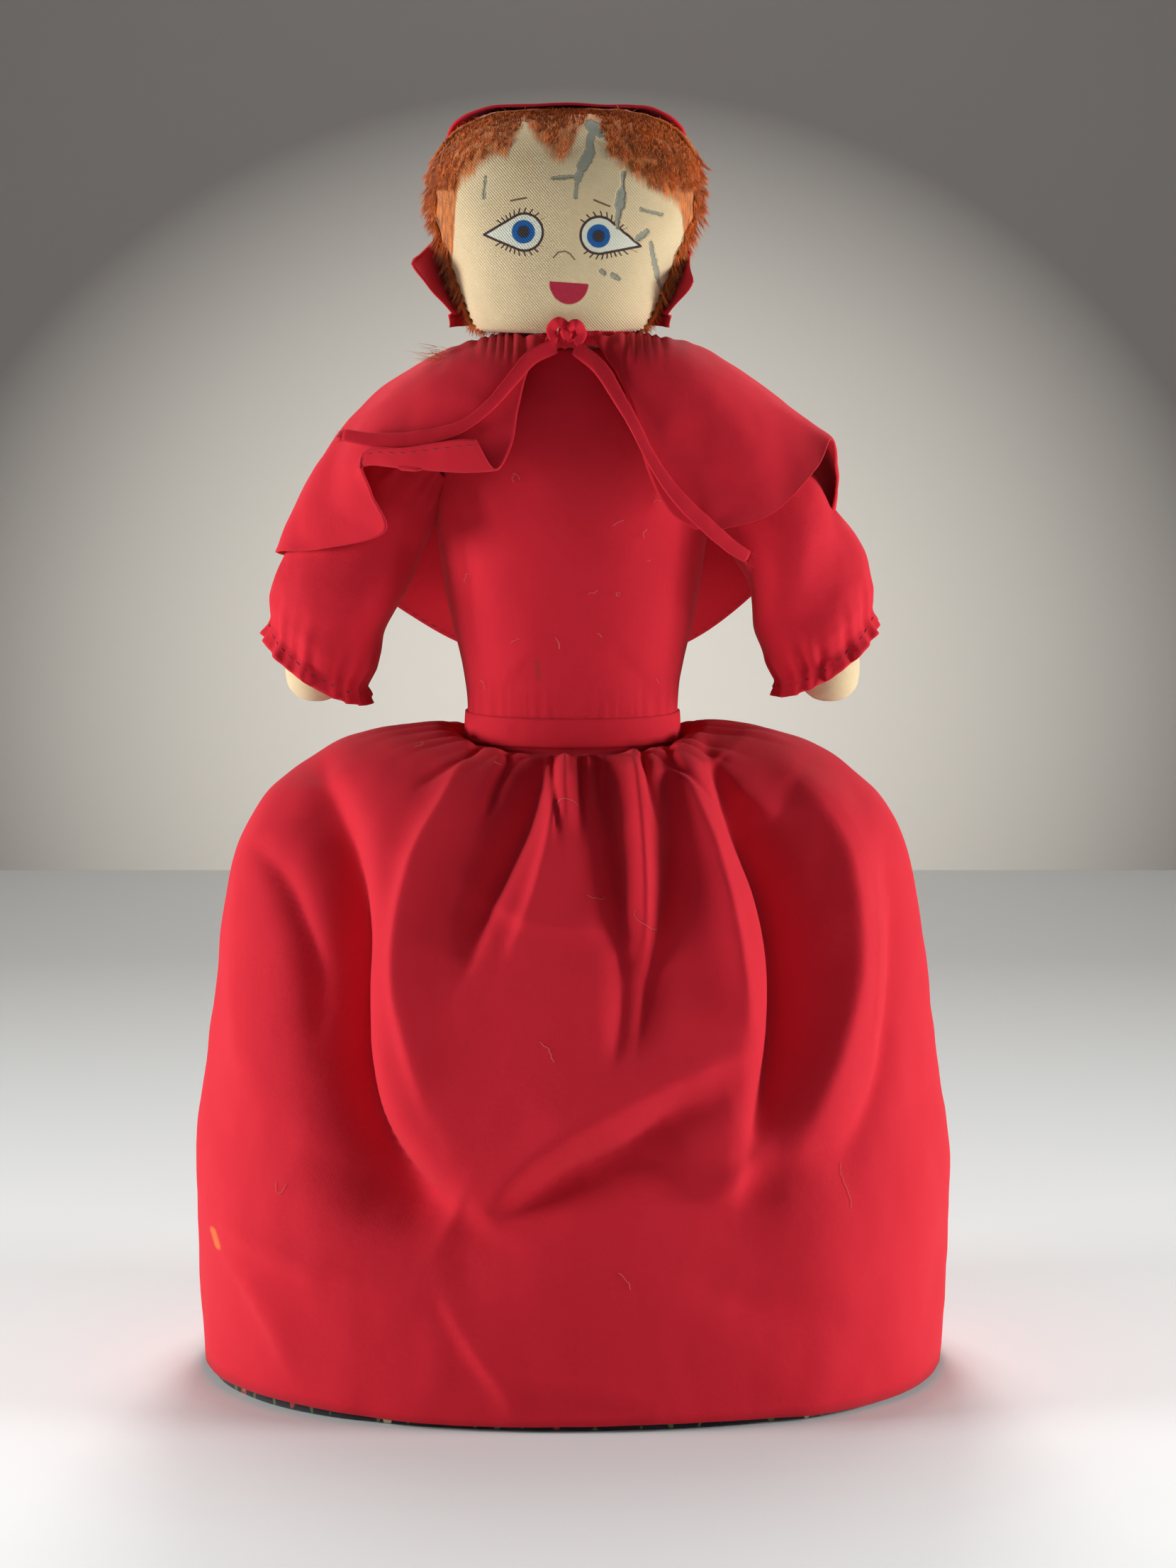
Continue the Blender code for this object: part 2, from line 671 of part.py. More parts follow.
def make_casing(maker):
    half_width, half_depth = casing_half_sizes()
    rings = []
    for step in range(BODY_SIDES):
        angle = 2 * math.pi * step / BODY_SIDES
        outward = Vector((math.cos(angle), math.sin(angle), 0))
        centre = Vector((half_width * outward.x, half_depth * outward.y, CASING_HEIGHT))
        rings.append(ring(centre, outward, Vector((0, 0, 1)), CASING_RADIUS, CASING_RADIUS, CASING_SIDES))
    rings.append(rings[0])
    maker.add("neck_casing", loft(rings), "red_cotton")


def make_knot(maker):
    _, half_depth = casing_half_sizes()
    front = half_depth + CASING_RADIUS + TOUCH_GAP + KNOT_DEPTH / 2
    mesh = bmesh.new()
    bmesh.ops.create_uvsphere(mesh, u_segments=10, v_segments=7, radius=0.5)
    size = Matrix.Diagonal((KNOT_WIDTH, KNOT_DEPTH, KNOT_HEIGHT, 1))
    bmesh.ops.transform(mesh, matrix=size, verts=mesh.verts)
    knot = maker.add("tie_knot", mesh, "red_cotton")
    knot.location = (KNOT_OFF_MIDDLE, -front, CASING_HEIGHT + CASING_RADIUS)


# The tie's free ends, from the knot over the cape, in the doll's own frame
LEFT_TAIL_ROUTE = (
    (-0.0045, -0.0205, 0.1197),
    (-0.0112, -0.0242, 0.1166),
    (-0.0168, -0.0278, 0.1105),
    (-0.0230, -0.0306, 0.1035),
    (-0.0305, -0.0314, 0.0978),
    (-0.0390, -0.0310, 0.0949),
    (-0.0480, -0.0302, 0.0935),
    (-0.0570, -0.0287, 0.0935),
    (-0.0655, -0.0267, 0.0947),
)
RIGHT_TAIL_ROUTE = (
    (0.0008, -0.0208, 0.1192),
    (0.0078, -0.0257, 0.1138),
    (0.0128, -0.0292, 0.1062),
    (0.0175, -0.0314, 0.0982),
    (0.0215, -0.0320, 0.0902),
    (0.0262, -0.0324, 0.0826),
    (0.0320, -0.0326, 0.0755),
    (0.0385, -0.0322, 0.0693),
    (0.0450, -0.0314, 0.0636),
    (0.0505, -0.0304, 0.0599),
)


def make_tail(maker, name, route, count):
    curve = bpy.data.curves.new(name, "CURVE")
    curve.dimensions = "3D"
    curve.bevel_depth = TIE_THICKNESS / 2
    curve.bevel_resolution = 2
    curve.use_fill_caps = True
    spline = curve.splines.new("POLY")
    spline.points.add(count - 1)
    for index, point in enumerate(spline.points):
        point.co = (*through(route, index * (len(route) - 1) / (count - 1)), 1)
    maker.place(name, curve, "red_cotton")


def cape_point(index, azimuth):
    """The cape at a row of its profiles and an angle from the back."""
    half_width, half_depth = casing_half_sizes()
    clear = CASING_RADIUS + TOUCH_GAP
    ahead = max(0.0, -math.cos(azimuth)) ** 2
    behind = max(0.0, math.cos(azimuth)) ** 2
    beside = math.sin(azimuth) ** 2
    left = azimuth < 0
    drop_front = CAPE_LEFT_FRONT_DROP if left else CAPE_FRONT_DROP
    side, back, front = (
        shares[index] for shares in (CAPE_SIDE_SHARES, CAPE_BACK_SHARES, CAPE_FRONT_SHARES)
    )
    reach_x = half_width + clear + side[0] * (CAPE_WIDTH / 2 - half_width)
    reach, share = (CAPE_FRONT_REACH, front[0]) if ahead else (CAPE_BACK_REACH, back[0])
    reach_y = half_depth + clear + share * (reach - half_depth)
    drop = (
        side[1] * CAPE_SIDE_DROP * beside
        + back[1] * CAPE_BACK_DROP * behind
        + front[1] * drop_front * ahead
    )
    sine, cosine = math.sin(azimuth), math.cos(azimuth)
    point = Vector(
        (
            reach_x * math.copysign(abs(sine) ** CAPE_SQUARENESS, sine),
            reach_y * math.copysign(abs(cosine) ** CAPE_SQUARENESS, cosine),
            CASING_HEIGHT + CASING_RADIUS - drop,
        )
    )
    fold = CAPE_FOLD * side[0] * math.cos(2 * CAPE_FOLDS * azimuth)
    return point + Vector((point.x, point.y, 0)).normalized() * fold


def make_cape(maker):
    span = math.pi - CAPE_OPENING
    rows = []
    for index in range(len(CAPE_SIDE_SHARES)):
        rows.append(
            [cape_point(index, span * (2 * step / CAPE_STEPS - 1)) for step in range(CAPE_STEPS + 1)]
        )
    maker.add("red_cape", loft(rows, closed=False), "red_cotton", CAPE_THICKNESS)


def hood_row(height, half_width, half_depth, flare):
    """Half a ring round the back of the head, from the right cheek to the left."""
    points = []
    for step in range(HOOD_STEPS + 1):
        turn = step / HOOD_STEPS
        angle = turn * (math.pi + 2 * HOOD_FRONT_WRAP) - HOOD_FRONT_WRAP
        edge = flare * (2 * turn - 1) ** HOOD_FLARE_POWER
        out = half_width * math.cos(angle)
        out += math.copysign(HOOD_FLARE_OUT * edge, out)
        back = (half_depth + HOOD_BACK_FULLNESS) * math.sin(angle)
        points.append(Vector((out, back - HOOD_FLARE_FORWARD * edge, height)))
    return points


def make_hood(maker):
    clear = PLUSH_PILE + HOOD_SPACE + HOOD_THICKNESS
    rows = []
    for (height_share, *size_shares), flare in zip(HEAD_SHARES, HOOD_FLARE_SHARES):
        height = HEAD_BASE + max(HOOD_BASE_RISE, height_share * HEAD_HEIGHT)
        if not rows:
            size_shares = HEAD_SHARES[1][1:]
        height += (HOOD_SPACE + HOOD_THICKNESS) * height_share
        rows.append(hood_row(height, *head_half_sizes(*size_shares, clear), flare))
    crown = Vector((0, 0, HEAD_BASE + HEAD_HEIGHT + HOOD_SPACE + HOOD_THICKNESS))
    hood = maker.add("red_hood", loft(rows, False, None, crown), "red_cotton", HOOD_THICKNESS)
    nape = Vector((0, rows[0][HOOD_STEPS // 2].y, rows[0][0].z))
    maker.under_joint("hood_fold", nape, [hood])


def make_doll_frame(collection, name, turned):
    frame = bpy.data.objects.new(name, None)
    collection.objects.link(frame)
    frame.location = (0, 0, WAIST_HEIGHT)
    frame.rotation_euler = (0, math.pi if turned else 0, 0)
    return frame


def make_half_doll(maker, prefix, cuts=()):
    make_head(maker, prefix, cuts)
    make_bodice(maker, prefix)
    make_arm(maker, prefix, "left", -1)
    make_arm(maker, prefix, "right", 1)


def main():
    clear_scene()
    parts = new_collection("topsy_turvy_doll")
    cutters = make_cutters(new_collection("cutters", hidden=True))
    materials = {name: new_material(name, *finish) for name, finish in COLOURS.items()}
    maker = Maker(parts, cutters, materials)
    maker.frame = make_doll_frame(parts, "red_doll", turned=False)
    make_body(maker)
    make_half_doll(maker, "red")
    make_skirts(maker)
    make_casing(maker)
    make_knot(maker)
    make_tail(maker, "tie_tail_left", LEFT_TAIL_ROUTE, 14)
    make_tail(maker, "tie_tail_right", RIGHT_TAIL_ROUTE, 16)
    make_cape(maker)
    make_hood(maker)
    maker.frame = make_doll_frame(parts, "print_doll", turned=True)
    make_half_doll(maker, "print", ("floor",))


main()
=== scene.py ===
"""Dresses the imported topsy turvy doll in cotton, twill, plush, print and thread.

Metres, +Z up, the doll faces -Y. A half doll is shaped in its own frame, whose origin is the
middle of the waist: the red doll's stands upright and the print doll's is turned half way
round about Y. A turn is an angle round Z from the front, towards +X. Tables whose names end
in MM hold millimetres.
"""

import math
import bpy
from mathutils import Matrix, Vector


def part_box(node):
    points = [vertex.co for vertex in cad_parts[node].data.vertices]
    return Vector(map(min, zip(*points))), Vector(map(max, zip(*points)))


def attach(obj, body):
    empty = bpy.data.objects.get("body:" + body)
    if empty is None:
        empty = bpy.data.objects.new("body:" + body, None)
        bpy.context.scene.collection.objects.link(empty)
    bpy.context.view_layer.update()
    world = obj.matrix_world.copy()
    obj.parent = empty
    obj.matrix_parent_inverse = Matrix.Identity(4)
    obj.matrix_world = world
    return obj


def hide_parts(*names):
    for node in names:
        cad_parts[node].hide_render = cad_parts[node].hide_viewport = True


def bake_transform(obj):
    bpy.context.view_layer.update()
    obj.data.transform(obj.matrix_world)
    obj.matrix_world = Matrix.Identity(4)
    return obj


bl_info = {
    "name": "Topsy Turvy Doll",
    "version": (1, 0, 0),
    "blender": (4, 5, 0),
    "location": "View3D > Sidebar > Doll",
    "description": "Dresses a packed doll in cotton, twill, plush, print and thread",
    "category": "Add Mesh",
}

import bmesh
import bpy
import numpy as np
from mathutils import Vector, noise

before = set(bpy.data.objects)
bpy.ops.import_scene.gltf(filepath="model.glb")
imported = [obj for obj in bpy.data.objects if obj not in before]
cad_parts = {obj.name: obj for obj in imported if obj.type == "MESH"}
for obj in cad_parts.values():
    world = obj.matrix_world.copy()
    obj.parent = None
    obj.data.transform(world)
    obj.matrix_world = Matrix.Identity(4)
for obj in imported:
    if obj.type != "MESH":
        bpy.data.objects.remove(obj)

MM = 0.001
TO_MM = 1000
TAU = 2 * math.pi
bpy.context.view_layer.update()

# What the solids were cut to, read from them or repeated from their source
BAND_LOW, BAND_HIGH = (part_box("red_waistband")[end].z for end in (0, 1))
CROWN_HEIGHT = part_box("red_face_panel")[1].z
FLOOR_CUT = 0.0005
WAIST_HEIGHT = (CROWN_HEIGHT - FLOOR_CUT) / 2
BODICE_START = BAND_HIGH - WAIST_HEIGHT - 0.0010
TORSO_HEIGHT = 0.1185
NECK_LENGTH = 0.0045
HEAD_BASE = TORSO_HEIGHT + NECK_LENGTH
HEAD_HEIGHT = CROWN_HEIGHT - WAIST_HEIGHT - HEAD_BASE
HALF_CHEST_WIDTH = 0.040
HALF_CHEST_DEPTH = 0.0225
HALF_HEAD_WIDTH = 0.0385
HALF_HEAD_DEPTH = 0.0235
NECK_HALF_SIZES = (0.0158, 0.0138)
SKIN_INSET = 0.0013
TWILL_WALL = 0.0007
PLUSH_PILE = 0.0014
ARM_LENGTH = 0.079
ARM_TILTS = (math.radians(44), math.radians(2))
SHOULDER_X = 0.04596
SHOULDER_HEIGHT = 0.0855

# Height, half width and half depth of the bodice, as shares of the torso's, then in metres
TORSO_SHARES = (
    (0.0, 0.775, 0.845),
    (0.105, 0.775, 0.865),
    (0.42, 0.94, 0.98),
    (0.60, 1.0, 1.0),
    (0.742, 0.955, 0.95),
    (0.856, 0.85, 0.87),
    (0.94, 0.60, 0.74),
    (1.0, 0.395, 0.613),
)
TORSO_STOPS = tuple(
    (height * TORSO_HEIGHT, width * HALF_CHEST_WIDTH, depth * HALF_CHEST_DEPTH) for height, width, depth in TORSO_SHARES
)
# How far the head leans to its right at the neck and at the crown
HEAD_LEANS = (0.0036, 0.0012)
# Height up the head and the share of the solid's width that is left there
JAW_SHARES = ((0, 0.875), (0.05, 0.88), (0.15, 0.895), (0.34, 0.94), (0.56, 0.98), (1, 1))
# The width of a head's filling as a share of its skin's
FILL_SHARE = 0.985
# Height, half width and half depth of the head as shares of its own, from the neck to the crown
HEAD_STOPS = (
    (0.000, 0.55, 0.60),
    (0.012, 0.62, 0.68),
    (0.05, 0.67, 0.76),
    (0.15, 0.74, 0.85),
    (0.34, 0.855, 0.95),
    (0.56, 0.975, 1.00),
    (0.74, 0.97, 0.94),
    (0.87, 0.835, 0.77),
    (0.945, 0.635, 0.54),
    (0.98, 0.40, 0.30),
    (0.990, 0.0, 0.0),
)
# Height and reach of the skirt at the side, then at the front, hem to waist
SKIRT_STOPS = (
    (0.0, 0.985, 0.0, 1.0),
    (0.31, 1.0, 0.18, 0.97),
    (0.50, 0.94, 0.35, 0.915),
    (0.66, 0.885, 0.52, 0.84),
    (0.80, 0.83, 0.67, 0.75),
    (0.90, 0.74, 0.785, 0.65),
    (0.965, 0.60, 0.872, 0.54),
    (1.008, 0.43, 0.937, 0.42),
    (1.028, 0.27, 0.98, 0.29),
    (1.033, 0.12, 0.998, 0.15),
)
SKIRT_HALF_SIZES = (0.1115, 0.07225)
SKIRT_START = (0.0300, 0.0181)
SKIRT_TOP = WAIST_HEIGHT + 0.0016
# The last two stops, tucked in at the waist: the red skirt's edge goes up and its lining's down
RED_TUCK = ((1.0, 0.0, 1.0, 0.0), (1.019, 0.004, 1.019, 0.004))
LINING_TUCK = ((0.985, 0.015, 0.985, 0.02), (0.9685, 0.004, 0.9685, 0.004))
HEM_SQUARENESS = 0.86
LINING_INSET = 0.0021
SKIRT_CLOTH = (0.66, 0.245)
SKIRT_FOLD_MM = 7.0
SKIRT_FOLD_BOOST = 1.35
# Rows of the skirt's stops between which its puckers rise, and its drawn folds and its finer
# relief fade out under the band
PUCKER_ROWS, DRAWN_ROWS, BAND_ROWS = (6.5, 9.5), (7.8, 9.8), (8.9, 9.9)
SKIRT_FOLD_STOPS = tuple(enumerate((0.45, 0.7, 0.95, 1.0, 0.95, 0.8, 0.6, 0.4, 0.2, 0.06, 0.0)))

# Folds of the skirts' front: height, width to the left and to the right, then the line that each
# runs down, in X and Z
SKIRT_FOLDS_MM = (
    (-15.0, 12, 5.0, (-74, 182), (-67, 165), (-64, 143), (-65, 123), (-64, 103), (-58, 84), (-46, 70), (-32, 62)),
    (4.2, 3.2, 9, (-29, 190), (-36, 176), (-44, 162), (-49, 144), (-50, 126), (-46, 108), (-40, 90)),
    (4.2, 9, 6, (-78, 184), (-88, 172), (-94, 156), (-97, 138), (-98, 116), (-97, 92)),
    (-2.6, 3, 4, (-92, 161), (-84, 150), (-78, 130), (-77, 108)),
    (-4.6, 7, 2.2, (-8, 196), (-9, 184), (-13, 171), (-19, 158), (-25, 145), (-30, 131)),
    (2.6, 2.2, 8, (-2, 194), (-4, 180), (-7, 165), (-12, 148), (-18, 134)),
    (1.2, 1.6, 3.5, (-25, 150), (-12, 144), (0, 142), (11, 141)),
    (-5.2, 5.5, 2.6, (9, 196), (10, 183), (12.5, 165), (14, 150), (14.5, 135)),
    (-2.6, 4, 4, (14.5, 140), (14.5, 122), (12, 104)),
    (3.6, 3, 4, (17, 194), (18.5, 180), (20, 165), (21, 148), (21, 132)),
    (-4.4, 3.2, 4.5, (26, 190), (28, 177), (27.5, 162), (26, 148), (22, 126), (19, 108)),
    (4.2, 6, 4, (29, 192), (35, 176), (41, 162), (46, 142), (49, 124), (50, 110)),
    (-13.0, 4.2, 9.5, (40, 190), (48, 172), (57, 152), (61, 132), (61, 114), (58, 98), (52, 78)),
    (4.6, 5.5, 9, (64, 182), (74, 168), (79, 154), (81, 130), (76, 104), (66, 80)),
    (-3.4, 4, 5, (90, 158), (94, 140), (94, 118), (89, 92), (78, 74)),
    (3.2, 7, 7, (86, 176), (97, 158), (103, 134), (105, 108)),
    (3.2, 8, 3.4, (52, 108), (40, 104), (29, 100), (12, 92), (-8, 81), (-25, 64)),
    (-3.6, 3, 6, (46, 96), (29, 90), (16, 81), (-1, 73), (-18, 61)),
    (1.8, 3, 4, (57, 83), (49, 73), (40, 68), (29, 73)),
    (-4.4, 17, 8, (-84, 76), (-56, 68), (-27, 59), (-1, 71), (22, 75), (43, 64), (60, 71), (88, 83)),
    (1.6, 2, 6, (-108, 52), (-92, 46), (-78, 42), (-58, 41)),
    (2.2, 3, 7, (-104, 44), (-95, 36), (-88, 26), (-80, 8)),
    (1.5, 1.6, 5, (-38, 40), (-30, 26), (-22, 14), (-14, 3)),
    (0.9, 1.8, 5, (-29, 23), (-12, 13), (16, 7), (27, 1)),
    (-1.4, 6, 6, (30, 44), (52, 34), (80, 28)),
    (1.2, 3, 6, (50, 6), (79, 9), (104, 12)),
    (2.0, 2, 5, (43, 188), (50, 180), (60, 172)),
)
# Short gathers under the front of the waistband, as above
SKIRT_GATHERS_MM = (
    (-2.2, 1.0, 1.2, (-5.5, 196), (-5.5, 186), (-4.5, 176), (-4.0, 166)),
    (1.4, 1.2, 1.8, (-2.5, 196), (-2.0, 186), (-1.5, 170)),
    (-2.6, 1.0, 1.3, (2.2, 196), (2.4, 186), (2.6, 176), (3.0, 168)),
    (1.5, 1.2, 1.2, (4.2, 196), (4.6, 184), (5.5, 172)),
    (-1.8, 0.9, 1.0, (6.6, 196), (7.0, 186), (8.4, 176)),
    (-2.4, 1.0, 1.4, (20, 196), (20.5, 187), (22, 180), (25, 170)),
    (-2.2, 1.2, 1.6, (27, 196), (28, 189), (33, 183), (42, 176)),
    (-2.0, 1.3, 1.5, (-17, 196), (-18, 189), (-22, 180), (-25, 172)),
    (-2.0, 1.4, 1.5, (-25, 196), (-27, 190), (-34, 186), (-44, 180)),
)

# The tie's routes in the red doll's own frame: the same points as in the solids
TAIL_ROUTES_MM = {
    "left": (
        (-4.5, -20.5, 119.7), (-11.2, -24.2, 116.6), (-16.8, -27.8, 110.5), (-23.0, -30.6, 103.5), (-30.5, -31.4, 97.8),
        (-39.0, -31.0, 94.9), (-48.0, -30.2, 93.5), (-57.0, -28.7, 93.5), (-65.5, -26.7, 94.7),
    ),
    "right": (
        (0.8, -20.8, 119.2), (7.8, -25.7, 113.8), (12.8, -29.2, 106.2), (17.5, -31.4, 98.2), (21.5, -32.0, 90.2),
        (26.2, -32.4, 82.6), (32.0, -32.6, 75.5), (38.5, -32.2, 69.3), (45.0, -31.4, 63.6), (50.5, -30.4, 59.9),
    ),
}
TAPE_HALF_THICKNESS = 0.00062
CASING_HEIGHT = 0.1208
FRAY_COUNT = 34

# Routes of the knot's two loops from its middle
KNOT_ROUTES_MM = {
    "left": ((0.5, 0, 1), (-2.2, -2.2, 3.2), (-4.4, -1.2, 1.2), (-3.6, -1, -1.8), (-3, -0.4, -2.4)),
    "right": ((-0.8, 0, 0), (2.4, -2.4, 2.6), (4.2, -1, 0), (3, -1.2, -2.4), (2.2, -1.4, -2.8)),
}

# The cape's net in the row frame: one column from the left front edge round the back to the
# right front edge, each from the neck to the hem's edge
CAPE_NET_MM = (
    ((-6, -17.5, 307), (-12, -25, 299), (-15, -28.5, 288), (-17, -31, 277.5), (-21.5, -34, 270.8), (-27, -35.5, 279.5)),
    ((-11, -15.5, 307.4), (-20, -24, 300.7), (-27, -28.5, 290.6), (-30, -30, 278.5), (-31, -34, 270),
     (-33, -36, 279.3)),
    ((-15.5, -11, 307.6), (-29, -18.5, 301.7), (-39, -24, 291.6), (-44, -28, 279.5), (-46, -32, 270.5),
     (-46.5, -34, 276.8)),
    ((-17, -8, 307.7), (-33, -13, 301.9), (-46, -19.5, 291.2), (-54, -24, 280), (-57.5, -28, 271.5),
     (-59.5, -30, 275.2)),
    ((-18, -5, 307.8), (-36, -8.5, 302.2), (-51, -14, 291), (-61, -19, 279.5), (-62.5, -23, 269), (-57, -25.5, 263.5)),
    ((-18.3, -2, 307.8), (-37, -3, 302.2), (-54, -7, 291), (-66, -12, 277.5), (-68, -18, 261), (-53.5, -23.5, 252.2)),
    ((-18.6, 1.4, 307.8), (-37, 2, 302.2), (-56, -2, 290.6), (-71, -7, 273.5), (-78, -12, 256), (-72, -16, 246.6)),
    ((-17.8, 4, 307.8), (-36.5, 7, 302), (-55, 6, 290), (-71, 3, 272.5), (-82, -2, 254.5), (-85.8, -6, 244.8)),
    ((-16.8, 7, 307.6), (-35, 12, 301.7), (-53, 16, 288.6), (-68, 18, 269.5), (-78, 18, 250), (-81, 17, 240)),
    ((-12, 12.6, 307.4), (-27, 22, 301.2), (-42, 30, 285.6), (-54, 36, 261.5), (-62, 40, 237), (-64, 41, 230)),
    ((-6.3, 15.6, 307.2), (-15, 27, 300.2), (-24, 37, 283.6), (-31, 44, 254.5), (-35, 48, 220), (-36, 48.5, 212)),
    ((0, 16.6, 307.2), (0, 28.5, 299.7), (0, 39, 282.6), (0, 46, 251.5), (0, 49.5, 210), (0, 50, 201)),
    ((6.3, 15.6, 307.2), (15, 27, 300.2), (24, 37, 283.6), (31, 44, 254.5), (35, 47.5, 220), (36, 48, 212)),
    ((12, 12.6, 307.4), (27, 22, 301.2), (43, 30, 286.6), (55, 35, 265.5), (62, 38, 243), (64, 38.5, 236)),
    ((16.8, 7, 307.6), (35, 11, 302.7), (54, 13, 290.1), (68, 13, 277), (75, 10, 262), (76, 8, 252)),
    ((18.2, 3, 307.7), (36.5, 4, 303.3), (55, 4, 291), (69, 2, 280.5), (76.5, 0, 267), (76.2, -1, 257)),
    ((18.6, 0, 307.8), (37, -2, 303.7), (56, -4, 291.8), (68, -8, 282.8), (75.6, -11, 275), (76.6, -9, 268)),
    ((18.4, -2.5, 307.6), (36.6, -5.5, 303.6), (55, -9, 292), (66.5, -13, 283.5), (72.6, -17, 279.3), (74.3, -18, 278)),
    ((18, -5, 307.4), (36, -9, 303.2), (53, -15, 291.1), (63, -19, 281), (68.5, -22.5, 273.5), (70, -24, 270.5)),
    ((15.5, -11, 307.6), (30, -19.5, 301.7), (44, -25, 288.6), (52, -28, 274), (56.5, -29, 262.5),
     (57.5, -29.5, 258.3)),
    ((11, -15.5, 307.4), (22, -24.5, 299.7), (32, -28.5, 287.1), (38, -30, 271), (42, -30.5, 258.5),
     (43.5, -31, 253.8)),
    ((6, -17.5, 307), (13, -25, 297), (18, -29.5, 285), (21, -30.5, 271.5), (27, -30.8, 259.5), (35, -31, 253.6)),
)

# Height up the hood and how far its right, then its left front corner stands out there
HOOD_FLARES = (
    ((0, 0.1), (0.08, 0.4), (0.15, 0.8), (0.21, 1.0), (0.27, 0.45), (0.34, 0.08), (0.42, 0), (1, 0)),
    ((0, 0.12), (0.1, 0.4), (0.2, 0.75), (0.30, 1.0), (0.36, 0.45), (0.43, 0.06), (0.5, 0), (1, 0)),
)
HOOD_CORNER_REACHES = (0.0045, -0.0075)
# Height up the hood and how far past the side of the head its edge comes forward, in radians
HOOD_WRAPS = (
    (0, 0.14), (0.22, 0.14), (0.32, 0.0), (0.42, -0.34), (0.55, -0.55), (0.8, -0.45), (0.93, -0.10), (1, 0),
)

# Half doll, hand and which way of its own X
ARMS = (("red", "left", -1), ("red", "right", 1), ("print", "left", -1), ("print", "right", 1))
ARM_DEPTH_SHARE = 0.88
# Distance along the arm and its radius there
ARM_STOPS = (
    (-0.0050, 0.0052), (0.0, 0.0072), (0.0174, 0.0088), (0.0411, 0.0094), (0.0632, 0.0094),
    (0.0679, 0.0093), (0.0742, 0.0081), (0.0772, 0.0056), (0.0784, 0.0030), (0.0788, 0.0),
)
# Share of the way down a sleeve and its radius there
SLEEVE_STOPS = (
    (0.0, 0.0122), (0.10, 0.0145), (0.28, 0.0168), (0.50, 0.0181), (0.72, 0.0184), (0.84, 0.0178),
    (0.90, 0.0163), (0.93, 0.0156), (0.96, 0.0160), (1.0, 0.0172),
)
ELASTIC_RADIUS, ELASTIC_WIDTH = 0.0109, 0.004

# Creases of the bodices, as the skirts' folds, with heights above the waist
BODICE_CREASES_MM = (
    (-0.9, 2.5, 4, (-37, 84), (-33, 72), (-31, 58), (-29, 42), (-27, 24)),
    (0.8, 3, 4, (-34, 92), (-26, 82), (-20, 70)),
    (-0.7, 2.5, 4, (37, 84), (33, 72), (32, 58), (30, 40), (28, 24)),
    (0.8, 3, 4, (34, 92), (27, 83), (22, 72)),
    (0.5, 2, 5, (-22, 20), (-14, 30), (-4, 36)),
    (-0.5, 2, 4, (24, 18), (17, 27), (9, 33)),
)

# The printed face, in X and height above the head's base
EYES_MM = (((-13.4, 28.7), (-25, 27.9), (-13.7, 28.8)), ((7.7, 27.8), (19.6, 24.7), (7.6, 27.6)))
EYE_RADIUS_MM = 5.2
# Where each ring of the eye starts and is full, and its colour
IRIS_RINGS_MM = (
    (3.45, 3.2, (0.012, 0.105, 0.33)),
    (1.95, 1.75, (0.008, 0.045, 0.19)),
    (1.65, 1.45, (0.045, 0.034, 0.034)),
)
BROWS_MM = (((-17.2, 37.5), (-12.8, 38.3)), ((6.3, 37.7), (10.7, 35.9)))
NOSE_MM = ((-5.2, 21.5), (-3.9, 23), (-2, 23.4), (-0.4, 22.6), (0.8, 21))
MOUTH_MM = ((-0.8, 14.5), 5.6, 6.2)
TEARS_MM = (
    (1.5, (5.4, 58.6), (8.0, 56.6)),
    (1.0, (6.2, 58), (4.9, 53.5), (5.2, 51)),
    (1.5, (4.8, 50.5), (3.0, 47.2)),
    (0.9, (3.4, 48), (1.7, 43.8)),
    (0.35, (1.8, 44), (1.0, 38.6)),
    (0.35, (14.6, 45.2), (14.3, 41)),
    (1.25, (14, 39.4), (13.6, 36)),
    (0.75, (13.5, 36.5), (13.0, 33)),
    (0.3, (13.1, 33.4), (12.9, 30)),
    (0.75, (18.9, 27), (21.3, 28.8)),
    (0.4, (22.4, 25.6), (23.4, 20.4)),
    (0.65, (23.5, 20.6), (24.4, 16)),
    (0.3, (24.3, 16), (25.7, 12.2)),
    (0.3, (-5.4, 43.8), (0.2, 44.2)),
    (0.45, (8.3, 17.8), (9.2, 17)),
    (0.5, (11.2, 16.6), (13.2, 15.6)),
    (0.3, (-24.4, 44), (-24.8, 38.6)),
    (0.25, (19.6, 35), (25.6, 33.6)),
)
# Where the brushed hair ends on the face: X and height above the head's base
HAIRLINE_MM = (
    (-40, 13), (-35, 15), (-33.8, 26), (-33, 38), (-31.5, 42.5), (-29, 44), (-26, 47.5), (-22, 49.5), (-18, 50),
    (-16, 55), (-13.5, 59.5), (-11, 56.5), (-9, 52.5), (-5, 50), (-2.4, 49), (0, 51), (1.5, 57), (5, 61), (8, 58.5),
    (9.6, 54), (11, 49.5), (16, 45.5), (20, 42.5), (25, 39.5), (29, 37.5), (31, 35), (32.4, 26), (33.5, 14), (36, 8),
    (40, 6),
)
HAIR_SPAN_MM = (40, 70)
FLOWERS_PER_METRE = 135.0
# Strands of pile over the back of the head, locks at each seam and locks tried over the brow
PILE_COUNTS = {"red": (5200, 260, 1500), "print": (2600, 90, 500)}
STRANDS_PER_LOCK = 12
PLUSH_TURNS, FACE_TURNS = (0.238, 0.762), (-0.25, 0.25)
# Middle of the frayed strands that hang out at the shoulder, in the row frame
WISP_START = (-0.0375, -0.0110, 0.3020)
WISP_COUNT = 46
# Loose hairs on the dress
BODICE_HAIRS, SKIRT_HAIRS, HAIR_RADIUS = 15, 9, 0.00005

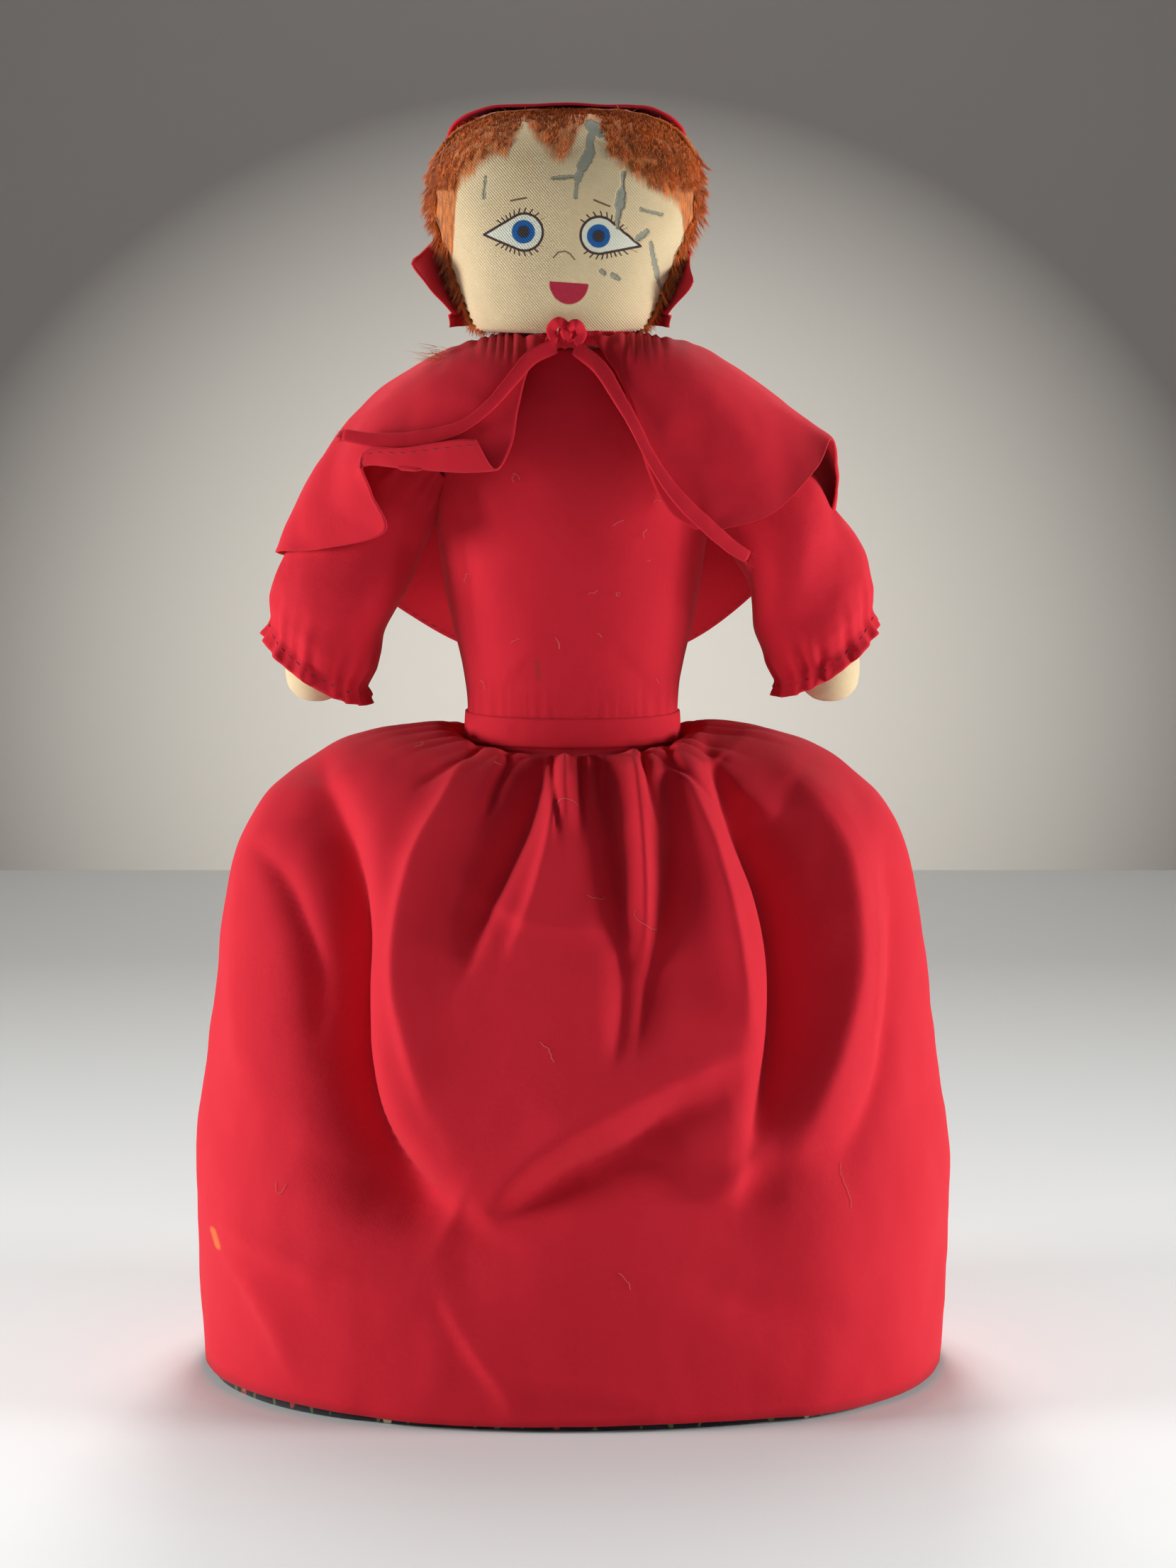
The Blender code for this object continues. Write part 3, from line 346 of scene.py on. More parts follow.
# Small marks on the red cloth: a line in X and Z, how far it spreads and its colour
CLOTH_MARKS_MM = (
    (((-10.2, 214.5), (-9.6, 209.5)), 0.7, (0.34, 0.02, 0.015)),
    (((-105.5, 47.0), (-104.0, 43.5)), 1.0, (0.75, 0.22, 0.04)),
)

# The camera's place, its pitch down from the horizon, its lens and the height of its sensor
CAMERA_PLACE = (0.0046, -1.1, 0.350)
CAMERA_PITCH = math.radians(9.02)
CAMERA_LENS, CAMERA_SENSOR = 86.45, 36.0
# Each lamp's place, what it is aimed at, its size and its power
LAMPS = {
    "left_lamp": ((-0.92, -0.16, 0.27), (0, 0, 0.15), 0.3, 8.4),
    "right_lamp": ((0.92, -0.14, 0.25), (0, 0, 0.15), 0.3, 8.1),
    "back_lamp": ((0.0, 0.24, 1.0), (0, -0.2, 0), 0.3, 3.9),
    "far_lamp": ((0.0, 0.76, 0.80), (0, 0, 0.12), 0.3, 4.0),
    "front_lamp": ((0.0, -1.4, 0.10), (0, 0, 0.16), 0.5, 1.3),
}
SKY_COLOUR = (0.93, 0.95, 1.0, 1.0)
# How bright the sky is as light, and how much brighter the camera sees it
SKY_LEVEL, SKY_SEEN_LEVEL = 0.10, 0.42
# The floor's colour near the camera, and the painted shade that it darkens to towards the back
FLOOR_NEAR, FLOOR_FAR_SHADE = (0.85, 0.88, 0.87), (0.42, 0.415, 0.40)
# The backdrop's colour inside its painted pool of light, and the painted shade at its edges
WALL_MIDDLE_LIT, WALL_EDGE_SHADE = (0.76, 0.725, 0.65), (0.125, 0.115, 0.107)
# Y span over which the floor's painted shade comes in
FLOOR_SHADE_FADE = (-0.15, 0.6)
# Half width, half height and middle height of the painted pool of light on the wall
HALO_WIDTH, HALO_HEIGHT, HALO_MIDDLE = 0.36, 0.34, 0.06
STAGE_REACH, WALL_DISTANCE = 3, 0.82


def colour_setting(name, description, default):
    return bpy.props.FloatVectorProperty(name=name, description=description, size=3, subtype="COLOR", default=default)


def length_setting(name, description, default):
    return bpy.props.FloatProperty(name=name, description=description, default=default, unit="LENGTH")


class DollColours(bpy.types.PropertyGroup):
    """The finishes that a maker would change."""

    red_cotton: colour_setting("Red cotton", "Colour of the red cloth", (0.53, 0.007, 0.021))
    print_ground: colour_setting("Print ground", "Ground colour of the printed cloth", (0.012, 0.011, 0.016))
    twill: colour_setting("Cream twill", "Colour of the skin cloth", (0.72, 0.57, 0.345))
    plush: colour_setting("Plush", "Colour of the hair plush", (0.64, 0.15, 0.016))


class DollSizes(bpy.types.PropertyGroup):
    """The sizes that a maker would change."""

    cloth_wall: length_setting("Cotton thickness", "Thickness of the dress cotton", 0.0007)
    weave_pitch: length_setting("Weave pitch", "Distance between threads of the cotton", 0.00042)
    twill_pitch: length_setting("Twill pitch", "Distance between the twill's diagonals", 0.00064)
    stitch_length: length_setting("Stitch length", "Length of one seen stitch", 0.0021)
    pile_length: length_setting("Pile length", "Length of the plush pile", 0.0036)
    tape_width: length_setting("Tie width", "Width of the flat tie", 0.0038)


# ---------------------------------------------------------------- shapes


def smooth(stops, at):
    """The columns of a table after its first, read along its first on a line that never overshoots."""
    table = np.asarray(stops, float)
    x, y = table[:, 0], table[:, 1:]
    slope = np.diff(y, axis=0) / np.diff(x)[:, None]
    lean = np.empty_like(y)
    lean[0], lean[-1] = slope[0], slope[-1]
    before, after = slope[:-1], slope[1:]
    same_way = before * after > 0
    lean[1:-1] = np.where(same_way, 2 * before * after / np.where(same_way, before + after, 1), 0)
    at = np.clip(np.asarray(at, float), x[0], x[-1])
    low = np.clip(np.searchsorted(x, at, side="right") - 1, 0, len(x) - 2)
    step = (x[low + 1] - x[low])[..., None]
    part = (at[..., None] - x[low][..., None]) / step
    values = (
        y[low] * (1 + 2 * part) * (1 - part) ** 2
        + lean[low] * step * part * (1 - part) ** 2
        + y[low + 1] * part**2 * (3 - 2 * part)
        + lean[low + 1] * step * part**2 * (part - 1)
    )
    return np.moveaxis(values, -1, 0)


def between_points(before, start, end, after, part):
    """A share of the way from start to end, on a smooth curve that passes all four points."""
    return start + part / 2 * (
        (end - before)
        + part * (2 * before - 5 * start + 4 * end - after)
        + part**2 * (3 * start - before - 3 * end + after)
    )


def along_route(points, at):
    """Places on the smooth curve through a route, each at a share of its number of points."""
    points = np.asarray(points, float)
    last = len(points) - 1
    at = np.clip(np.asarray(at, float), 0, 1) * last
    low = np.clip(at.astype(int), 0, last - 1)
    part = (at - low).reshape(at.shape + (1,) * (points.ndim - 1))
    first = 2 * points[0] - points[1]
    final = 2 * points[-1] - points[-2]
    padded = np.concatenate([first[None], points, final[None]])
    return between_points(*(padded[low + step] for step in range(4)), part)


def route_length(points):
    return float(np.linalg.norm(np.diff(points, axis=0), axis=1).sum())


def by_row(stops):
    """A table of stops with the number of each in front."""
    return [(row, *stop) for row, stop in enumerate(stops)]


def ring(width, depth, height, turn):
    """Points round Z with these half sizes, each at its turn."""
    return np.stack([width * np.sin(turn), -depth * np.cos(turn), height + 0 * turn], -1)


def fade(value, start, end):
    """0 before start and 1 after end, smoothly between them."""
    part = np.clip((np.asarray(value, float) - start) / (end - start), 0, 1)
    return part * part * (3 - 2 * part)


def signed_power(value, power):
    return np.sign(value) * np.abs(value) ** power


def unit(vectors):
    return vectors / np.maximum(np.linalg.norm(vectors, axis=-1, keepdims=True), 1e-12)


def roughen(points, size, seed=0.0):
    """Soft noise of about -1 to 1 at points, its lumps this long."""
    shift = Vector((seed, -seed, 2 * seed))
    return np.array([noise.noise(Vector(point) / size + shift) for point in points])


def lumps(points, *layers):
    """Soft noise in layers, each with its height, the length of its lumps and its seed."""
    return sum(height * roughen(points, size, seed) for height, size, seed in layers)


def fold_relief(x, z, folds):
    """How far folds drawn on a front view lift its points, all in millimetres."""
    relief = np.zeros_like(x)
    for height, left_width, right_width, *route in folds:
        line = along_route(route, np.linspace(0, 1, 6 * len(route)))
        reach = 2.6 * max(left_width, right_width)
        low, high = line.min(0) - reach, line.max(0) + reach
        close = np.flatnonzero((x > low[0]) & (x < high[0]) & (z > low[1]) & (z < high[1]))
        here = np.stack([x[close], z[close]], -1)
        start, run = line[:-1], np.diff(line, axis=0)
        offset = here[:, None] - start
        part = np.clip((offset * run).sum(-1) / (run**2).sum(-1), 0, 1)
        apart = np.linalg.norm(offset - part[..., None] * run, axis=-1)
        near = apart.argmin(1)
        rows = np.arange(len(here))
        turned = run[near, 0] * offset[rows, near, 1] - run[near, 1] * offset[rows, near, 0]
        to_right = turned / np.linalg.norm(run[near], axis=-1)
        middle = (left_width + right_width) / 5
        width = left_width + (right_width - left_width) * fade(to_right, -middle, middle)
        along = (near + part[rows, near]) / len(run)
        ends = np.sin(math.pi * np.clip(along, 0.02, 0.98)) ** 0.6
        relief[close] += height * ends * np.exp(-((apart[rows, near] / width) ** 1.4))
    return relief


def half_frame(points, half):
    """Takes points from a half doll's frame to the row frame."""
    if half == "print":
        points = points * (-1, 1, -1)
    return points + (0, 0, WAIST_HEIGHT)


def relieved(surface, relief):
    """The surface with its points moved along its outward side by a relief in metres."""

    def moved(u, v):
        step = 1e-4
        points = surface(u, v)
        across = surface(u + step, v) - surface(u - step, v)
        up = surface(u, v + step) - surface(u, v - step)
        outward = unit(np.cross(across, up))
        return points + outward * relief(u, v, points)[:, None]

    return moved


def cloth_mesh(columns, rows, surface, size, tiny=1e-6):
    """A bmesh grid laid on a surface(u, v), with metres of its cloth in the UVs.

    Its faces look outwards where u runs towards +X round the front and v runs up."""
    mesh = bmesh.new()
    bmesh.ops.create_grid(mesh, x_segments=columns, y_segments=rows, size=0.5)
    shares = np.array([vert.co[:2] for vert in mesh.verts]) + 0.5
    layer = mesh.loops.layers.uv.new("UVMap")
    flat = shares * size
    for face in mesh.faces:
        for loop in face.loops:
            loop[layer].uv = flat[loop.vert.index]
    for vert, point in zip(mesh.verts, surface(shares[:, 0], shares[:, 1])):
        vert.co = point
    bmesh.ops.remove_doubles(mesh, verts=mesh.verts, dist=tiny)
    mesh.normal_update()
    return mesh


def tube_surface(route, half_width, half_thickness, face_way, squareness=1.0):
    """A surface round a route: flat across where the two half sizes differ."""
    route = np.asarray(route, float)

    def surface(u, v):
        centre = along_route(route, v)
        ahead = unit(along_route(route, v + 0.01) - along_route(route, v - 0.01))
        across = unit(np.cross(ahead, np.broadcast_to(face_way, ahead.shape)))
        out = np.cross(across, ahead)
        angle = -TAU * u
        cosine, sine = np.cos(angle), np.sin(angle)
        wide = half_width(v) * signed_power(cosine, squareness)
        thick = half_thickness(v) * signed_power(sine, squareness)
        return centre + across * wide[:, None] + out * thick[:, None]

    return surface


def capped(size):
    """A half size that closes to a point over the last share of a tube's length at both ends."""
    return lambda v: size * np.sqrt(np.clip(np.minimum(v, 1 - v) / 0.03, 0, 1))


def mesh_data(name, mesh):
    """Turns a bmesh into mesh data and frees it."""
    data = bpy.data.meshes.new(name)
    mesh.to_mesh(data)
    mesh.free()
    return data


def put(name, data):
    obj = bpy.data.objects.new(name, data)
    bpy.context.scene.collection.objects.link(obj)
    return obj


class Wardrobe:
    """The finishes by name, and how a mesh becomes a piece of the doll."""

    finishes = {}
    slots = {
        "red_cotton": "red_cotton", "print_cotton": "print_cotton", "twill": "cream_twill", "face": "cream_twill",
        "plush": "orange_plush", "fill": "fibre_fill", "elastic": "elastic", "thread": "red_cotton",
        "lint": "fibre_fill",
    }

    @classmethod
    def piece(cls, name, mesh, finish, wall=0.0, body=None, replaces=()):
        data = mesh_data(name, mesh)
        data.shade_smooth()
        data.materials.append(cls.finishes[finish].material)
        obj = put(name, data)
        if wall:
            solid = obj.modifiers.new("Cloth", "SOLIDIFY")
            solid.thickness = wall
            solid.offset = -1
        if body:
            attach(obj, body)
        if replaces:
            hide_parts(*replaces)
        return obj


def scattered(shape, places):
    """One bmesh of many copies of a small mesh, each laid out by a function of its points."""
    many = bmesh.new()
    points = np.array([vert.co for vert in shape.verts])
    small = mesh_data("small", shape)
    for place in places:
        small.vertices.foreach_set("co", place(points).astype(np.float32).ravel())
        many.from_mesh(small)
    bpy.data.meshes.remove(small)
    many.normal_update()
    return many


def strand_shape(sides=3, joints=2):
    """A unit strand up Z that narrows to a point."""

    def surface(u, v):
        radius = 1 - v**1.5
        return np.stack([radius * np.cos(TAU * u), radius * np.sin(TAU * u), v], -1)

    return cloth_mesh(sides, joints, surface, (0.001, 0.004), 1e-4)


def strand_place(root, way, length, radius, sag):
    """Where one strand's points go: out along its way and bent over by its sag."""
    way = unit(np.asarray(way, float))
    side = unit(np.cross(way, (0.31, 0.52, 0.79)))
    other = np.cross(way, side)

    def place(points):
        rise = points[:, 2:]
        round_it = (points[:, :1] * side + points[:, 1:2] * other) * radius
        placed = root + (way * rise + np.asarray(sag) * rise**2) * length + round_it
        placed[:, 2] = np.maximum(placed[:, 2], FLOOR_CUT)
        return placed

    return place


def stitch_shape():
    """A unit stitch along X, rounded at its ends and half sunk in the cloth."""

    def surface(u, v):
        swell = np.sqrt(np.clip(1 - (2 * v - 1) ** 4, 0, 1))
        return np.stack([v - 0.5, swell * np.cos(TAU * u), swell * np.sin(TAU * u)], -1)

    return cloth_mesh(5, 4, surface, (0.001, 0.002), 1e-4)


def stitch_places(line, outwards, length, gap, radius):
    """Stitches of one length, a gap apart, along a line on a surface that looks outwards."""
    line = np.asarray(line, float)
    runs = np.linalg.norm(np.diff(line, axis=0), axis=1)
    along = np.concatenate([[0], np.cumsum(runs)])
    places = []
    for start in np.arange(gap, along[-1] - length, length + gap):
        ends = np.array([[np.interp(at, along, line[:, axis]) for axis in range(3)] for at in (start, start + length)])
        out = unit(np.array([np.interp(start + length / 2, along, outwards[:, axis]) for axis in range(3)]))
        ahead = ends[1] - ends[0]
        across = unit(np.cross(out, ahead)) * radius
        middle = ends.mean(0) + out * radius * 0.35

        def place(points, middle=middle, ahead=ahead, across=across, out=out):
            return middle + points[:, :1] * ahead + points[:, 1:2] * across + points[:, 2:] * out * radius * 0.8

        places.append(place)
    return places


def edge_line(surface, u, v):
    """A line across a surface with the way it looks outwards along it."""
    step = 1e-3
    points = surface(u, v)
    across = surface(u + step, v) - surface(u - step, v)
    up = surface(u, v + step) - surface(u, v - step)
    return points, unit(np.cross(across, up))


# ---------------------------------------------------------------- finishes


class Amount:
    """A number that changes over a surface. Sums and products of amounts add the Math nodes."""

    def __init__(self, finish, socket):
        self.finish = finish
        self.socket = socket

    def math(self, operation, *others, clamp=False):
        settings = {"operation": operation, "use_clamp": clamp}
        return self.finish.node("ShaderNodeMath", settings, dict(enumerate((self, *others))))

    def __add__(self, other):
        return self.math("ADD", other)

    __radd__ = __add__

    def __sub__(self, other):
        return self.math("SUBTRACT", other)

    def __rsub__(self, other):
        return (self * -1).math("ADD", other)

    def __mul__(self, other):
        return self.math("MULTIPLY", other)

    __rmul__ = __mul__

    def __truediv__(self, other):
        return self.math("DIVIDE", other)

    def __abs__(self):
        return self.math("ABSOLUTE")

    def __pow__(self, other):
        return self.math("POWER", other)

    def root(self):
        return self.math("SQRT")

    def sine(self):
        return self.math("SINE")

    def least(self, other):
        return self.math("MINIMUM", other)

    def held(self):
        return self.math("ADD", 0.0, clamp=True)

    def rises(self, start, end):
        """0 where the amount is under start and 1 over end; end may be the lower one."""
        return ((self - start) * (1 / (end - start))).held()


class Finish:
    """A material: its nodes are added by one method, and its Principled shader is the last."""

    def __init__(self, name, colour, roughness, **constants):
        self.material = bpy.data.materials.new(name)
        self.material.use_nodes = True
        self.tree = self.material.node_tree
        self.shader = self.tree.nodes["Principled BSDF"]
        self.set("Base Color", (*colour, 1.0))
        self.set("Roughness", roughness)
        for name, value in constants.items():
            self.set(name.replace("_", " ").title().replace("Ior", "IOR"), value)

    def set(self, socket, value):
        self.join(self.shader.inputs[socket], value)

    def join(self, socket, value):
        if isinstance(value, Amount):
            self.tree.links.new(value.socket, socket)
        elif value is not None:
            socket.default_value = value

    def node(self, kind, settings=None, sockets=None, output=0):
        made = self.tree.nodes.new(kind)
        for name, value in (settings or {}).items():
            if name == "stops":
                self.set_stops(made.color_ramp.elements, value)
            else:
                setattr(made, name, value)
        for key, value in (sockets or {}).items():
            self.join(made.inputs[key], value)
        return Amount(self, made.outputs[output])

    @staticmethod
    def set_stops(elements, stops):
        while len(elements) < len(stops):
            elements.new(1.0)
        for element, (place, colour) in zip(elements, stops):
            element.position = place
            element.color = (*colour, 1.0)

    def place(self):
        """Object coordinates, which are the row frame's metres."""
        return self.node("ShaderNodeTexCoord", output="Object")

    def cloth(self):
        """Metres of cloth from the piece's own UV map."""
        return self.node("ShaderNodeUVMap", {"uv_map": "UVMap"})

    def parts(self, vector):
        return [self.node("ShaderNodeSeparateXYZ", None, {0: vector}, output) for output in range(3)]

    def mottle(self, vector, scale, detail=2.0, rough=0.5, stretch=None):
        if stretch:
            vector = self.node("ShaderNodeVectorMath", {"operation": "MULTIPLY"}, {0: vector, 1: stretch})
        sockets = {"Vector": vector, "Scale": scale, "Detail": detail, "Roughness": rough}
        return self.node("ShaderNodeTexNoise", None, sockets)

    def mix(self, factor, first, second, how="MIX"):
        first, second = ((*c, 1.0) if isinstance(c, tuple) and len(c) == 3 else c for c in (first, second))
        settings = {"data_type": "RGBA", "blend_type": how}
        return self.node("ShaderNodeMix", settings, {0: factor, 6: first, 7: second}, 2)

    def bump(self, height, strength, distance):
        sockets = {"Height": height, "Strength": strength, "Distance": distance}
        self.set("Normal", self.node("ShaderNodeBump", None, sockets))

    def show_front_only(self):
        """Clears the material's back faces, so that a view from behind the backdrop is free."""
        behind = self.node("ShaderNodeNewGeometry", output="Backfacing")
        front = Amount(self, self.shader.outputs[0])
        shown = self.node("ShaderNodeMixShader", None, {0: behind, 1: front, 2: self.node("ShaderNodeBsdfTransparent")})
        self.join(self.tree.nodes["Material Output"].inputs["Surface"], shown)

    def near(self, x, z, route, wide=0.0):
        """Distance from a broken line, less a width."""
        best = None
        for (ax, az), (bx, bz) in zip(route, route[1:]):
            run_x, run_z = bx - ax, bz - az
            length = run_x**2 + run_z**2
            off_x, off_z = x - ax, z - az
            part = ((off_x * run_x + off_z * run_z) * (1 / length)).held()
            apart = ((off_x - part * run_x) ** 2 + (off_z - part * run_z) ** 2).root()
            best = apart if best is None else best.least(apart)
        return best - wide if wide else best


def tint(colour, factor):
    return tuple(min(1.0, channel * factor) for channel in colour)


def weave(finish, pitch):
    """A plain weave's height from 0 to 1, with uneven threads."""
    u, v, _ = finish.parts(finish.cloth())
    waver = finish.mottle(finish.place(), 900, 1.0)
    across = ((u + waver * (pitch * 0.5)) * (TAU / pitch)).sine()
    down = ((v + waver * (pitch * 0.4)) * (TAU / pitch)).sine()
    return across * down * 0.5 + 0.5


def cotton_finish(name, colour, pitch):
    finish = Finish(name, colour, 0.84, sheen_weight=0.05, sheen_roughness=0.5, specular_ior_level=0.25)
    place = finish.place()
    blotch = finish.mottle(place, 38, 4.0, 0.6)
    slub = finish.mottle(finish.cloth(), 1, 3.0, 0.6, (420, 3600, 1))
    warp = finish.mottle(finish.cloth(), 1, 3.0, 0.6, (3600, 420, 1))
    shade = (blotch * 0.24 + slub * 0.2 + warp * 0.2 + 0.68).held()
    worn = finish.mix(shade, tint(colour, 0.70), tint(colour, 1.14))
    x, _, z = finish.parts(place)
    x, z = x * TO_MM, z * TO_MM
    for route, wide, mark in CLOTH_MARKS_MM:
        worn = finish.mix(finish.near(x, z, route, wide).rises(0.5, -0.4) * 0.6, worn, mark)
    finish.set("Base Color", worn)
    crumple = finish.mottle(place, 95, 3.0, 0.55)
    finish.bump(weave(finish, pitch) * 0.7 + slub * 0.4 + warp * 0.4 + crumple * 5.0, 0.5, 0.00013)
    return finish


def dark_print_finish(name, ground, pitch):
    """A small scattered floral of no particular make, on a near black ground."""
    finish = Finish(name, ground, 0.84, sheen_weight=0.15, sheen_roughness=0.4, specular_ior_level=0.22)
    cloth = finish.cloth()
    spots = {"Vector": cloth, "Scale": FLOWERS_PER_METRE, "Randomness": 0.72}
    cells, kinds = (
        finish.node("ShaderNodeTexVoronoi", {"feature": "F1"}, spots, output) for output in ("Distance", "Color")
    )
    kind, _, ripple = finish.parts(kinds)
    petals = finish.mottle(cloth, 520, 1.0)
    bloom = (cells + (petals - 0.5) * 0.22).rises(0.30, 0.27)
    heart = cells.rises(0.10, 0.08)
    leaves = finish.mottle(cloth, 210, 1.0).rises(0.60, 0.63) * cells.rises(0.34, 0.38)
    colour = finish.mix(leaves, ground, (0.10, 0.16, 0.06))
    petal = finish.mix(kind.rises(0.45, 0.5), (0.55, 0.46, 0.30), (0.36, 0.05, 0.05))
    petal = finish.mix(ripple.rises(0.7, 0.72), petal, (0.08, 0.13, 0.30))
    colour = finish.mix(bloom * kind.rises(0.10, 0.12), colour, petal)
    colour = finish.mix(heart * kind.rises(0.10, 0.12), colour, (0.55, 0.32, 0.04))
    finish.set("Base Color", colour)
    finish.bump(weave(finish, pitch), 0.3, 0.00012)
    return finish


def twill_height(finish, pitch):
    u, v, _ = finish.parts(finish.cloth())
    waver = finish.mottle(finish.place(), 260, 2.0)
    diagonal = ((u + v * 0.84 + waver * (pitch * 0.5)) * (TAU / pitch / 1.3)).sine() * 0.5 + 0.5
    threads = ((v - u * 0.2) * (TAU / pitch * 1.6)).sine() * 0.5 + 0.5
    return diagonal * 0.7 + threads * 0.3


def twill_ground(finish, colour, height):
    """Unbleached cloth: creamy, a little grimy in broad patches, and painted darker between its ribs as shade in the
    grooves.
    """
    place = finish.place()
    grime = finish.mottle(place, 45, 4.0, 0.65)
    fleck = finish.mottle(place, 1500, 2.0)
    # The height term paints shade: the cloth is darker between the twill's ribs
    shade = (grime * 0.45 + height * 0.16 + fleck * 0.14 + 0.2).held()
    ground = finish.mix(shade, tint(colour, 0.62), tint(colour, 1.22))
    return finish.mix(grime.rises(0.52, 0.75) * 0.5, ground, (0.62, 0.42, 0.20))


def twill_finish(name, colour, pitch):
    finish = Finish(name, colour, 0.88, sheen_weight=0.12, specular_ior_level=0.22)
    height = twill_height(finish, pitch)
    finish.set("Base Color", twill_ground(finish, colour, height))
    finish.bump(height, 0.45, 0.00018)
    return finish


def teardrop(x, z, centre, tip, radius):
    """Distance from a circle drawn out to a point, negative inside."""
    (cx, cz), (tx, tz) = centre, tip
    length = math.hypot(tx - cx, tz - cz)
    ax, az = (tx - cx) / length, (tz - cz) / length
    lean = radius / length
    rise = math.sqrt(1 - lean * lean)
    along = (x - cx) * ax + (z - cz) * az
    across = abs((x - cx) * -az + (z - cz) * ax)
    round_part = ((x - cx) ** 2 + (z - cz) ** 2).root() - radius
    straight = across * rise + along * lean - radius
    beyond = ((along - length) ** 2 + across**2).root()
    side = along * rise - across * lean
    on_straight = side.rises(0.0, 0.001)
    past_tip = side.rises(length * rise, length * rise + 0.001)
    near = round_part * (1 - on_straight) + straight * on_straight
    return near * (1 - past_tip) + beyond * past_tip


def lashes(x, z, centre, tip, outline):
    """Short strokes that stand out from the upper and lower lid."""
    (cx, cz), (tx, tz) = centre, tip
    mx, mz = cx + (tx - cx) * 0.22, cz + (tz - cz) * 0.22
    angle = (z - mz).math("ARCTAN2", x - mx)
    strokes = abs((angle * 13.5).sine())
    away = ((x - mx) ** 2 + (z - mz) ** 2).root()
    thin = (strokes * away).rises(3.2, 1.9)
    length = outline.rises(1.75, 1.55) * outline.rises(0.1, 0.3)
    upright = abs(z - mz) / away
    return thin * length * upright.rises(0.42, 0.5)


def face_finish(name, colour, pitch, plush):
    """Twill with a printed face, brushed hair at its edge and the wear of years."""
    finish = Finish(name, colour, 0.88, sheen_weight=0.12, specular_ior_level=0.22)
    height = twill_height(finish, pitch)
    surface = twill_ground(finish, colour, height)
    u, v, _ = finish.parts(finish.cloth())
    x, z = u * TO_MM, v * TO_MM
    place = finish.place()
    wobble = finish.mottle(place, 700, 2.0) - 0.5
    x = x + wobble * 0.22
    z = z + wobble * 0.22

    # Brushed hair: strands that thin out towards the brow
    half_span, top = HAIR_SPAN_MM
    strands = finish.mottle(finish.cloth(), 1, 3.0, 0.7, (1500, 210, 1))
    broad = finish.mottle(finish.cloth(), 140, 2.0)
    stops = [((x_at / half_span + 1) / 2, (height_at / top,) * 3) for x_at, height_at in HAIRLINE_MM]
    hairline = finish.node("ShaderNodeValToRGB", {"stops": stops}, {0: x * (0.5 / half_span) + 0.5}) * top
    cover = (z - hairline + (strands - 0.5) * 8 + (broad - 0.5) * 5).rises(-1.5, 2.2)
    brushed = finish.mix(strands.rises(0.35, 0.66), tint(plush, 0.30), tint(plush, 1.2))
    surface = finish.mix(cover * 0.9, surface, brushed)

    line = (0.055, 0.032, 0.028)
    for centre, tip, iris_at in EYES_MM:
        outline = teardrop(x, z, centre, tip, EYE_RADIUS_MM)
        iris = ((x - iris_at[0]) ** 2 + (z - iris_at[1]) ** 2).root()
        surface = finish.mix(outline.rises(0.15, -0.1), surface, (0.72, 0.72, 0.60))
        for edge, full, shade in IRIS_RINGS_MM:
            surface = finish.mix(iris.rises(edge, full), surface, shade)
        surface = finish.mix(abs(outline).rises(0.46, 0.26), surface, line)
        surface = finish.mix(lashes(x, z, centre, tip, outline), surface, line)
    for brow in BROWS_MM:
        surface = finish.mix(finish.near(x, z, brow).rises(0.34, 0.18) * 0.9, surface, (0.12, 0.05, 0.03))
    surface = finish.mix(finish.near(x, z, NOSE_MM).rises(0.30, 0.14) * 0.85, surface, (0.12, 0.06, 0.04))
    (mx, mz), half_width, deep = MOUTH_MM
    lips = (((x - mx) * (1 / half_width)) ** 2 + ((z - mz) * (1 / deep)) ** 2).root().rises(1.03, 0.97)
    lips = lips * (z + (x - mx) * 0.07 - mz).rises(0.1, -0.1)
    surface = finish.mix(lips, surface, (0.42, 0.018, 0.045))

    # Cracks where the cloth's face has gone, with a frayed edge
    ragged = finish.mottle(place, 420, 3.0, 0.7) - 0.5
    cracks = None
    for wide, *route in TEARS_MM:
        crack = finish.near(x, z, route, wide)
        cracks = crack if cracks is None else cracks.least(crack)
    cracks = cracks + ragged * 1.6
    surface = finish.mix(cracks.rises(0.6, 0.1) * 0.8, surface, (0.46, 0.40, 0.26))
    surface = finish.mix(cracks.rises(0.05, -0.25) * 0.9, surface, (0.27, 0.285, 0.235))
    surface = finish.mix(abs(cracks - 0.02).rises(0.14, 0.04) * 0.7, surface, (0.07, 0.065, 0.045))
    finish.set("Base Color", surface)
    worn = cracks.rises(0.5, -0.3)
    finish.bump(height * (1 - worn) - worn * 2.0 + ragged * worn * 2.0 + cover * strands * 1.6, 0.5, 0.00022)
    return finish


def plush_finish(name, colour):
    finish = Finish(name, colour, 0.7, sheen_weight=0.5, sheen_roughness=0.35, specular_ior_level=0.3)
    place = finish.place()
    lock = finish.mottle(place, 130, 3.0, 0.6)
    fine = finish.mottle(place, 1900, 2.0)
    _, _, height = finish.parts(place)
    # Painted shade: the plush is darkened towards the red doll's crown
    top = height.rises(0.352, 0.372)
    shade = finish.mix((lock * 0.7 + fine * 0.4).rises(0.3, 0.78), tint(colour, 0.5), tint(colour, 1.5))
    finish.set("Base Color", finish.mix(top * 0.3, shade, tint(colour, 0.35)))
    finish.bump(fine + lock, 0.6, 0.0004)
    return finish


def fibre_finish(name, colour, roughness=0.95):
    finish = Finish(name, colour, roughness, sheen_weight=0.2)
    tuft = finish.mottle(finish.place(), 320, 4.0, 0.7)
    finish.set("Base Color", finish.mix(tuft.rises(0.25, 0.75), tint(colour, 0.75), tint(colour, 1.1)))
    finish.bump(tuft, 0.8, 0.0006)
    return finish


